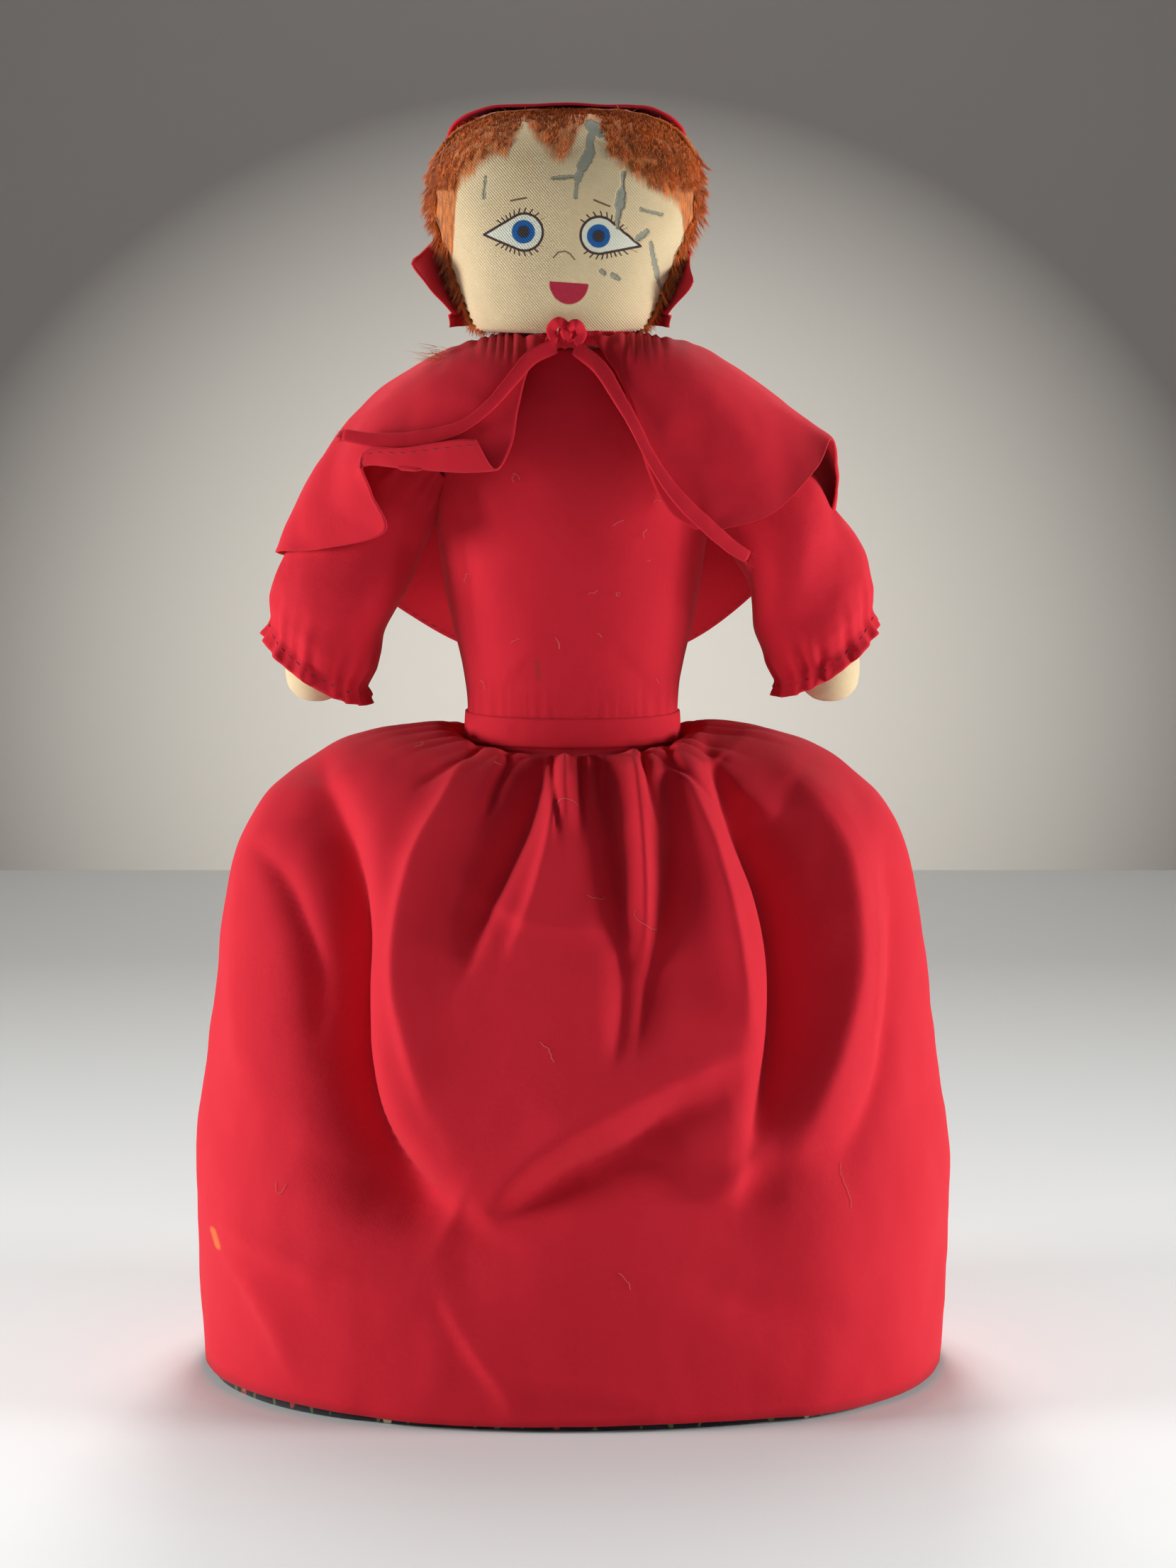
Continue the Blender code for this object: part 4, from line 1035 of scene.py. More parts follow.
def elastic_finish(name, colour):
    finish = Finish(name, colour, 0.8, sheen_weight=0.1)
    u, v, _ = finish.parts(finish.cloth())
    ribs = (u * (TAU / 0.0007)).sine() * 0.5 + 0.5
    finish.set("Base Color", finish.mix(ribs * 0.6, tint(colour, 1.05), tint(colour, 0.7)))
    finish.bump(ribs, 0.6, 0.0002)
    return finish


def thread_finish(name, colour):
    finish = Finish(name, colour, 0.6, sheen_weight=0.2, specular_ior_level=0.35)
    twist = finish.mottle(finish.place(), 2600, 2.0)
    finish.set("Base Color", finish.mix(twist, tint(colour, 0.65), tint(colour, 1.2)))
    finish.bump(twist, 0.5, 0.0001)
    return finish


def make_finishes(colours, sizes):
    chosen = (colours.red_cotton, colours.print_ground, colours.twill, colours.plush)
    red, ground, twill, plush = (tuple(colour) for colour in chosen)
    Wardrobe.finishes = {
        "red_cotton": cotton_finish("red_cotton_cloth", red, sizes.weave_pitch),
        "print_cotton": dark_print_finish("print_cotton_cloth", ground, sizes.weave_pitch),
        "twill": twill_finish("cream_twill_cloth", twill, sizes.twill_pitch),
        "face": face_finish("printed_face", twill, sizes.twill_pitch, plush),
        "plush": plush_finish("orange_plush_pile", plush),
        "fill": fibre_finish("fibre_filling", (0.80, 0.78, 0.72)),
        "elastic": elastic_finish("flat_elastic", (0.70, 0.68, 0.64)),
        "thread": thread_finish("red_thread", tint(red, 0.45)),
        "lint": thread_finish("pale_lint", (0.50, 0.20, 0.15)),
    }


# ---------------------------------------------------------------- the doll's surfaces


def arm_frame(side, along):
    """Centre and outward way of the bent arm, this far along it."""
    first, last = ARM_TILTS
    bend = ARM_LENGTH / (first - last)
    tilt = first - np.asarray(along, float) / bend
    out = bend * (np.cos(tilt) - math.cos(first))
    down = bend * (math.sin(first) - np.sin(tilt))
    flat = np.zeros_like(tilt)
    centre = np.stack([side * (SHOULDER_X + out), flat, SHOULDER_HEIGHT - down], -1)
    across = np.stack([side * np.cos(tilt), flat, np.sin(tilt)], -1)
    return centre, across


def arm_surface(side, along_of, radius_of, half):
    def surface(u, v):
        angle = side * TAU * u
        along = along_of(angle, v)
        centre, across = arm_frame(side, along)
        radius = radius_of(angle, v)
        points = centre + across * (radius * np.cos(angle))[:, None]
        points[:, 1] += radius * ARM_DEPTH_SHARE * np.sin(angle)
        return half_frame(points, half)

    return surface


def torso_surface(half, inset=0.0, stops=TORSO_STOPS, start=None, first=0.0, last=1.0):
    """The bodice round the chest, from a first to a last share of a turn from the front."""
    low = stops[0][0] if start is None else start

    def surface(u, v):
        height = low + v * (stops[-1][0] - low)
        width, depth = smooth(stops, height)
        turn = TAU * (first + u * (last - first))
        return half_frame(ring(width - inset, depth - inset, height, turn), half)

    return surface


def head_surface(half, spread, first, last, squareness=0.9):
    rows = len(HEAD_STOPS) - 1
    table = by_row(HEAD_STOPS)

    def surface(u, v):
        height, width, depth = smooth(table, np.clip(v, 0, 1) * rows)
        near_crown = np.clip(width / 0.3, 0, 1)
        turn = TAU * (first + u * (last - first))
        sine, cosine = np.sin(turn), np.cos(turn)
        x = (width * HALF_HEAD_WIDTH + spread * near_crown) * signed_power(sine, squareness)
        y = -(depth * HALF_HEAD_DEPTH + spread * near_crown) * signed_power(cosine, squareness)
        x = x - np.interp(height, (0, 1), HEAD_LEANS)
        z = HEAD_BASE + height * HEAD_HEIGHT + spread * height
        return half_frame(np.stack([x, y, z], -1), half)

    return surface


def skirt_surface(tuck):
    """The unfolded skirt, from the hem to the edge that is tucked in at the waist."""
    table = by_row(SKIRT_STOPS + tuck)

    def surface(u, v):
        turn = TAU * u
        share = np.clip(v, 0, 1)
        side_level, side_reach, front_level, front_reach = smooth(table, share * (len(table) - 1))
        x = SKIRT_START[0] + side_reach * (SKIRT_HALF_SIZES[0] - SKIRT_START[0])
        y = SKIRT_START[1] + front_reach * (SKIRT_HALF_SIZES[1] - SKIRT_START[1])
        level = side_level * np.sin(turn) ** 2 + front_level * np.cos(turn) ** 2
        square = 1 + (HEM_SQUARENESS - 1) * (1 - share)
        across, ahead = signed_power(np.sin(turn), square), signed_power(np.cos(turn), square)
        return np.stack([x * across, -y * ahead, level * SKIRT_TOP], -1)

    return surface


def skirt_relief(u, v, points):
    """Folds of both skirts: their own ones at the front, even ones round the sides and the back."""
    turn = TAU * u
    row = np.clip(v, 0, 1) * (len(SKIRT_STOPS) + 1)
    (share,) = smooth(SKIRT_FOLD_STOPS, row)
    leaning = turn + 0.1 * np.sin(2 * turn)
    even = np.cos(8 * leaning)
    uneven = 0.3 * np.sin(2 * turn) * np.cos(5 * (turn + math.pi))
    depth = 0.45 + 0.55 * np.cos(turn) ** 2
    front = np.clip(np.cos(turn) / 0.6 + 0.25, 0, 1)
    rolling = SKIRT_FOLD_MM * share * depth * (0.7 * even + 0.3 * even**2 + uneven) * (1 - 0.85 * front)
    x, z = points[:, 0] * TO_MM, points[:, 2] * TO_MM
    below_band = np.interp(row, DRAWN_ROWS, (1, 0))
    drawn = SKIRT_FOLD_BOOST * fold_relief(x, z, SKIRT_FOLDS_MM) * front * below_band
    gathers = fold_relief(x, z, SKIRT_GATHERS_MM) * front
    pucker_turn = turn + 0.03 * np.sin(7 * turn + 1) + 0.02 * np.sin(13 * turn)
    pucker = (np.abs(np.sin(17 * pucker_turn)) - 0.6) * fade(row, *PUCKER_ROWS) * (2.4 - 1.5 * front)
    wrinkle = lumps(points, (0.7, 0.021, 3.0), (0.3, 0.009, 7.0))
    close_to_band = 1 - 0.97 * fade(row, *BAND_ROWS)
    return (rolling + drawn + (gathers + pucker + wrinkle) * close_to_band) * MM


def hem_lift(turn):
    """How far the red hem hangs clear of the floor."""
    left = np.clip(-np.sin(turn), 0, 1)
    return 0.0012 + 0.0020 * left**2 + 0.0008 * np.clip(np.cos(turn), 0, 1) + 0.0004 * np.sin(6 * turn)


def cape_surface(first, last):
    """The cape's net as a smooth surface: u from the left front edge to the right, v from hem to neck."""
    net = np.array(CAPE_NET_MM) * MM

    def surface(u, v):
        across = first + np.asarray(u) * (last - first)
        columns = along_route(net, across)
        rows = columns.shape[1]
        down = np.clip(1 - np.asarray(v), 0, 1) * (rows - 1)
        low = np.clip(down.astype(int), 0, rows - 2)
        part = (down - low)[:, None]
        here = np.arange(len(down))
        start, end = columns[here, low], columns[here, low + 1]
        before = np.where((low > 0)[:, None], columns[here, np.maximum(low - 1, 0)], 2 * start - end)
        after = np.where((low < rows - 2)[:, None], columns[here, np.minimum(low + 2, rows - 1)], 2 * end - start)
        return between_points(before, start, end, after, part)

    return surface


def hood_surface():
    """The hood from its right front edge round the back of the head, v from the neck to the crown.

    Its two front corners stand away from the cheeks; above them the edge runs behind the hair."""
    rows = len(HEAD_STOPS) - 1
    table = by_row(HEAD_STOPS)

    def surface(u, v):
        height, width, depth = smooth(table, np.clip(v, 0, 1) * rows)
        width = np.where(height < 0.06, np.maximum(width, 0.715), width)
        depth = np.where(height < 0.06, np.maximum(depth, 0.74), depth)
        (wrap,) = smooth(HOOD_WRAPS, height)
        on_right = np.asarray(u) < 0.5
        flare = np.where(on_right, *(smooth(stops, height)[0] for stops in HOOD_FLARES))
        turn = math.pi / 2 - wrap + np.asarray(u) * (math.pi + 2 * wrap)
        clear = (PLUSH_PILE + 0.0022) * np.clip(width / 0.3, 0, 1)
        near_edge = fade(np.abs(2 * np.asarray(u) - 1) ** 7, 0.0, 1.0)
        x = (width * HALF_HEAD_WIDTH + clear) * np.sin(turn)
        x = x + np.where(on_right, *HOOD_CORNER_REACHES) * flare * near_edge
        x = x - np.interp(height, (0, 1), HEAD_LEANS)
        y = -(depth * HALF_HEAD_DEPTH + clear + 0.0015) * np.cos(turn) - 0.0095 * flare * near_edge
        z = HEAD_BASE + 0.0012 + height * (HEAD_HEIGHT - 0.0012) + 0.0030 * fade(height, 0.5, 1.0)
        return half_frame(np.stack([x, y, z], -1), "red")

    return surface


# ---------------------------------------------------------------- the pieces


def settings():
    scene = bpy.context.scene
    return scene.doll_colours, scene.doll_sizes


class MakeStage(bpy.types.Operator):
    """Sets the camera, the lamps, the floor and the backdrop."""

    bl_idname = "doll.stage"
    bl_label = "Stage"

    def execute(self, context):
        scene = context.scene
        scene.view_settings.view_transform = "Standard"
        camera = bpy.data.cameras.new("camera")
        camera.sensor_fit = "VERTICAL"
        camera.sensor_height = CAMERA_SENSOR
        camera.lens = CAMERA_LENS
        seat = put("camera", camera)
        seat.location = CAMERA_PLACE
        seat.rotation_euler = (math.pi / 2 - CAMERA_PITCH, 0, 0)
        scene.camera = seat
        for name, (place, aim, size, power) in LAMPS.items():
            lamp = bpy.data.lights.new(name, "AREA")
            lamp.shape = "DISK"
            lamp.size = size
            lamp.energy = power
            hung = put(name, lamp)
            hung.location = place
            hung.rotation_euler = (Vector(aim) - Vector(place)).to_track_quat("-Z", "Y").to_euler()
        scene.world = self.make_sky()
        floor = Finish("pale_floor", FLOOR_NEAR, 0.85)
        # Painted shade: the floor darkens from its near colour to the far one going back
        _, forward, _ = floor.parts(floor.place())
        floor.set("Base Color", floor.mix(forward.rises(*FLOOR_SHADE_FADE), FLOOR_NEAR, FLOOR_FAR_SHADE))
        wall = Finish("grey_backdrop", WALL_MIDDLE_LIT, 0.95)
        x, _, z = wall.parts(wall.place())
        # Painted light: a bright pool on the backdrop that fades to painted shade at its edges
        painted_light_pool = (x / HALO_WIDTH) ** 2 + ((z - HALO_MIDDLE) / HALO_HEIGHT) ** 2
        wall.set("Base Color", wall.mix(painted_light_pool.held(), WALL_MIDDLE_LIT, WALL_EDGE_SHADE))
        wall.show_front_only()
        far, back = STAGE_REACH, WALL_DISTANCE
        for name, finish, corners in (
            ("floor", floor, ((-far, -far, 0), (far, -far, 0), (far, back, 0), (-far, back, 0))),
            ("backdrop", wall, ((-far, back, 0), (far, back, 0), (far, back, far), (-far, back, far))),
        ):
            mesh = bmesh.new()
            mesh.faces.new([mesh.verts.new(corner) for corner in corners])
            data = mesh_data(name, mesh)
            data.materials.append(finish.material)
            put(name, data)
        return {"FINISHED"}

    def make_sky(self):
        """A weak even light, seen by the camera as a pale backdrop where the wall doesn't reach."""
        world = bpy.data.worlds.new("room")
        world.use_nodes = True
        nodes, links = world.node_tree.nodes, world.node_tree.links
        sky = nodes["Background"]
        sky.inputs["Color"].default_value = SKY_COLOUR
        seen = nodes.new("ShaderNodeLightPath")
        level = nodes.new("ShaderNodeMath")
        level.operation = "MULTIPLY_ADD"
        level.inputs[1].default_value, level.inputs[2].default_value = SKY_SEEN_LEVEL, SKY_LEVEL
        links.new(seen.outputs["Is Camera Ray"], level.inputs[0])
        links.new(level.outputs[0], sky.inputs["Strength"])
        return world


class MakeTie(bpy.types.Operator):
    """Makes the gathered neck casing, the knot and the tie's two free ends."""

    bl_idname = "doll.tie"
    bl_label = "Neck tie"

    def execute(self, context):
        _, sizes = settings()
        tails = []
        routes = [(side, half_frame(np.array(route) * MM, "red")) for side, route in TAIL_ROUTES_MM.items()]
        for side, route in routes:
            tails.append(self.make_tail(f"tie_{side}", side, route, sizes.tape_width))
        self.make_casing()
        self.make_knot()
        for tail, (side, route) in zip(tails, routes):
            points = along_route(route, np.linspace(0, 1, 40))
        return {"FINISHED"}

    def make_tail(self, name, side, route, width):
        """A folded tape with a groove down its middle and a frayed end."""
        middle = along_route(route, np.linspace(0, 1, 40))
        base = tube_surface(
            middle, lambda v: width / 2 * (1 + 0.16 * np.sin(9 * v + 1)), lambda v: TAPE_HALF_THICKNESS + 0 * v,
            (0.15, -1, 0.25), 0.55,
        )

        def surface(u, v):
            points = base(u, np.clip(v, 0, 1))
            centre = along_route(middle, np.clip(v, 0, 1))
            closing = np.sqrt(np.clip(np.minimum(v, 1 - v) / 0.008, 0, 1))
            return centre + (points - centre) * closing[:, None]

        def groove(u, v, points):
            return -0.00018 * np.exp(-(((u - 0.25) / 0.045) ** 2)) + 0.00012 * roughen(points, 0.004, 2)

        mesh = cloth_mesh(24, 90, relieved(surface, groove), (2.4 * width, route_length(middle)))
        tape = Wardrobe.piece(name, mesh, "red_cotton", body="root", replaces=["tie_tail_" + side])
        rng = np.random.default_rng(5 if side == "left" else 6)
        end = np.asarray(route[-1])
        ahead = unit(end - np.asarray(route[-2]))
        across = unit(np.cross(ahead, (0, -1, 0.2)))
        places = []
        for _ in range(FRAY_COUNT):
            root = end - ahead * 0.0006 + across * rng.uniform(-0.45, 0.45) * width + (0, rng.uniform(-4e-4, 3e-4), 0)
            way = ahead + across * rng.normal(0, 0.35) + (0, rng.normal(0, 0.2), rng.normal(0, 0.15))
            places.append(strand_place(root, way, rng.uniform(0.0012, 0.0036), 0.00011, (0, 0, rng.normal(-0.2, 0.3))))
        Wardrobe.piece(f"tie_{side}_fray", scattered(strand_shape(3, 3), places), "red_cotton", body="root")
        return tape

    def make_casing(self):
        """A tube of cloth gathered on its tie, so that it is puckered all the way round."""
        reach_x, reach_y, height, radius = 0.0168, 0.0148, WAIST_HEIGHT + CASING_HEIGHT, 0.0019

        def surface(u, v):
            turn = TAU * v
            angle = -TAU * u
            ripple = 1 + 0.10 * np.sin(31 * turn + 1.5 * np.sin(5 * turn)) + 0.05 * np.sin(47 * turn)
            out, centre = ring(1, 1, 0, turn), ring(reach_x, reach_y, height, turn)
            centre[:, 2] += 0.0008 * np.sin(2 * turn + 0.5)
            aside, up = radius * ripple * np.cos(angle), radius * ripple * np.sin(angle)
            return centre + out * aside[:, None] + np.array((0, 0, 1.25)) * up[:, None]

        mesh = cloth_mesh(14, 240, surface, (0.012, 0.1))
        Wardrobe.piece("neck_gather", mesh, "red_cotton", body="root", replaces=["neck_casing"])

    def make_knot(self):
        """A flat overhand knot: a wrapped middle with two loops that bulge out of it."""
        low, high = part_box("tie_knot")
        middle = np.array((low + high) / 2) + (0, -0.0004, 0.0012)
        half = np.array((high - low) / 2)

        def surface(u, v):
            turn, rise = TAU * u, math.pi * (np.clip(v, 0, 1) - 0.5)
            level = np.cos(rise)
            wrap = 1 + 0.13 * np.sin(3 * turn + 5 * v) + 0.08 * np.sin(7 * turn - 4 * v)
            return middle + ring(level, level, np.sin(rise), turn) * half * (0.74 * wrap)[:, None]

        mesh = cloth_mesh(36, 20, surface, (0.02, 0.01))
        Wardrobe.piece("knot", mesh, "red_cotton", body="root", replaces=["tie_knot"])
        for side, offsets in KNOT_ROUTES_MM.items():
            route = middle + np.array(offsets) * MM
            wrap = tube_surface(
                along_route(route, np.linspace(0, 1, 16)), capped(0.0015), capped(0.0006), (0.1, -1, 0.3), 0.7
            )
            Wardrobe.piece(f"knot_loop_{side}", cloth_mesh(14, 26, wrap, (0.006, 0.012)), "red_cotton", body="root")


class MakeBodices(bpy.types.Operator):
    """Makes the shared body, both bodices and both waistbands."""

    bl_idname = "doll.bodices"
    bl_label = "Bodices and waistbands"

    def execute(self, context):
        _, sizes = settings()
        for face, first in (("front", -0.25), ("back", 0.25)):
            self.make_body_half(face, first)
            for half in ("red", "print"):
                surface = torso_surface(half, 0.0, TORSO_STOPS, BODICE_START, first=first - 0.003, last=first + 0.503)
                mesh = cloth_mesh(96, 88, relieved(surface, self.creases), (0.115, 0.118))
                name, node = f"{half}_dress_{face}", f"{half}_bodice_{face}"
                piece = Wardrobe.piece(name, mesh, half + "_cotton", sizes.cloth_wall, "root", [node])
        for half in ("red", "print"):
            self.make_band(half)
        return {"FINISHED"}

    def creases(self, u, v, points):
        x = points[:, 0] * TO_MM
        z = np.abs(points[:, 2] - WAIST_HEIGHT) * TO_MM
        drawn = fold_relief(x, z, BODICE_CREASES_MM)
        puckers = 0.12 * np.sin(points[:, 0] * 2300 + 2 * np.sin(points[:, 0] * 400)) * fade(v, 0.14, 0.0)
        return (drawn + puckers + lumps(points, (0.35, 0.024, 1.0), (0.12, 0.008, 4.0))) * MM

    def make_body_half(self, face, first):
        """The cloth body under both dresses, seen only at the two necks."""
        upper = [*TORSO_STOPS, (HEAD_BASE + 0.003, *NECK_HALF_SIZES)]
        lower = [(-height, width, depth) for height, width, depth in reversed(upper[1:])]
        both = tuple(lower + upper)
        surface = torso_surface("red", SKIN_INSET, both, first=first, last=first + 0.5)
        mesh = cloth_mesh(48, 120, surface, (0.11, 0.24))
        piece = Wardrobe.piece("body_cloth_" + face, mesh, "twill", TWILL_WALL, "root", ["body_skin_" + face])

    def make_band(self, half):
        low, high = BAND_LOW - WAIST_HEIGHT, BAND_HIGH - WAIST_HEIGHT

        def surface(u, v):
            height = low + v * (high - low)
            width, depth = smooth(TORSO_STOPS, height)
            swell = 0.0006 + 0.0004 * np.sin(math.pi * np.clip(v, 0, 1))
            return half_frame(ring(width + swell, depth + swell, height, TAU * u), half)

        def relief(u, v, points):
            return lumps(points, (0.25, 0.012, 5.0), (0.1, 0.004, 8.0)) * MM

        mesh = cloth_mesh(220, 12, relieved(surface, relief), (0.165, 0.0084))
        band = Wardrobe.piece(half + "_band", mesh, half + "_cotton", 0.0012, "root", [half + "_waistband"])


class MakeArms(bpy.types.Operator):
    """Makes the four stuffed arms, whose rounded ends are the hands."""

    bl_idname = "doll.arms"
    bl_label = "Arms"

    def execute(self, context):
        places = [(index, end) for index, (end, _) in enumerate(ARM_STOPS)]
        for half, hand, side in ARMS:
            def along(angle, v):
                (at,) = smooth(places, (1 - np.clip(v, 0, 1)) * (len(places) - 1))
                return at

            def radius(angle, v):
                (size,) = smooth(ARM_STOPS, along(angle, v))
                return size

            def relief(u, v, points):
                seam = -0.22 * np.exp(-((np.abs(u - 0.5) / 0.012) ** 2))
                return (seam + 0.22 * roughen(points, 0.009, 2.0 + side)) * MM

            surface = arm_surface(side, along, radius, half)
            mesh = cloth_mesh(56, 72, relieved(surface, relief), (0.058, 0.084), 2e-6)
            body = f"{half}_{hand}_arm"
            arm = Wardrobe.piece(f"{half}_{hand}_hand", mesh, "twill", 0.0, body, [body + "_skin"])
        return {"FINISHED"}


class MakeSleeves(bpy.types.Operator):
    """Makes the puffed sleeves and the flat elastic that gathers each cuff."""

    bl_idname = "doll.sleeves"
    bl_label = "Sleeves"

    def execute(self, context):
        _, sizes = settings()
        for half, hand, side in ARMS:
            self.make_sleeve(half, hand, side, sizes)
        return {"FINISHED"}

    def make_sleeve(self, half, hand, side, sizes):
        start = -0.0035
        slant = 0.0085 if half == "red" else 0.0
        reach = 0.0700 if hand == "left" or half == "print" else 0.0672

        def end(angle):
            return reach - slant * np.cos(angle - 0.3)

        def along(angle, v):
            return start + (1 - v) * (end(angle) - start)

        def radius(angle, v):
            (size,) = smooth(SLEEVE_STOPS, 1 - np.clip(v, 0, 1))
            return size

        surface = arm_surface(side, along, radius, half)
        shift = 1.3 * side + (2.0 if half == "red" else 4.0)

        def relief(u, v, points):
            share = 1 - v
            angle = TAU * u
            gathers = np.sin(15 * angle + shift + 1.4 * np.sin(3 * angle)) + 0.5 * np.sin(23 * angle + 2 * shift)
            at_cuff = 0.38 * fade(share, 0.72, 0.93) + 0.35 * fade(share, 0.95, 1.0)
            at_top = 0.35 * fade(share, 0.25, 0.05)
            sag = 1.6 * np.sin(2 * angle + shift + 4 * share) * np.sin(math.pi * share)
            drape = 1.1 * np.sin(5 * share * math.pi + 2 * angle + shift)
            drape = drape * fade(share, 0.1, 0.4) * fade(share, 0.95, 0.7)
            wrinkle = lumps(points, (0.6, 0.014, shift), (0.25, 0.006, shift))
            return (gathers * (at_cuff + at_top) + sag + drape * 0.6 + wrinkle) * MM

        mesh = cloth_mesh(144, 96, relieved(surface, relief), (0.112, 0.075))
        name = f"{half}_{hand}_puff"
        arm = f"{half}_{hand}_arm"
        sleeve = Wardrobe.piece(name, mesh, half + "_cotton", sizes.cloth_wall, None, [f"{half}_{hand}_sleeve"])
        root, _ = arm_frame(side, -0.002)
        along_arm, _ = arm_frame(side, 0.022)
        tuple(half_frame(root, half))
        tuple(half_frame(along_arm, half))
        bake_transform(sleeve)
        line, outwards = edge_line(relieved(surface, relief), np.linspace(0, 1, 120), np.full(120, 0.045))
        stitches = scattered(stitch_shape(), stitch_places(line, outwards, sizes.stitch_length, 0.0011, 0.00016))
        Wardrobe.piece(f"{half}_{hand}_cuff_stitches", stitches, "thread", 0.0, arm)

        def elastic_along(angle, v):
            return end(angle) - 0.0062 + ELASTIC_WIDTH * (0.5 - v)

        elastic = arm_surface(side, elastic_along, lambda angle, v: ELASTIC_RADIUS + 0 * v, half)
        band = cloth_mesh(64, 4, elastic, (0.068, 0.004))
        Wardrobe.piece(f"{half}_{hand}_elastic", band, "elastic", 0.0008, arm, [f"{half}_{hand}_cuff_elastic"])


class MakeSkirts(bpy.types.Operator):
    """Makes the red skirt and the print skirt that lines it, sewn together at the hem."""

    bl_idname = "doll.skirts"
    bl_label = "Skirts"

    def execute(self, context):
        _, sizes = settings()
        outer = relieved(skirt_surface(RED_TUCK), skirt_relief)

        def red(u, v):
            turned = self.denser_in_front(u)
            points = outer(turned, v)
            points[:, 2] += hem_lift(TAU * turned) * fade(1 - v, 0.86, 1.0)
            return points

        mesh = cloth_mesh(330, 140, red, SKIRT_CLOTH)
        skirt = Wardrobe.piece("red_skirt_cloth", mesh, "red_cotton", sizes.cloth_wall, "root", ["red_skirt"])
        inner = relieved(skirt_surface(LINING_TUCK), lambda u, v, points: skirt_relief(u, v, points) - LINING_INSET)

        def lining(u, v):
            points = inner(self.denser_in_front(u), v)
            points[:, 2] = np.maximum(points[:, 2] - 0.0006, 0.0004)
            return points

        mesh = cloth_mesh(260, 90, lining, SKIRT_CLOTH)
        skirt = Wardrobe.piece("print_skirt_cloth", mesh, "print_cotton", sizes.cloth_wall, "root", ["print_skirt"])
        return {"FINISHED"}

    def denser_in_front(self, u):
        """Shares of a turn that lie closer together at the front, where the folds are finest."""
        return u - 0.075 * np.sin(TAU * u)


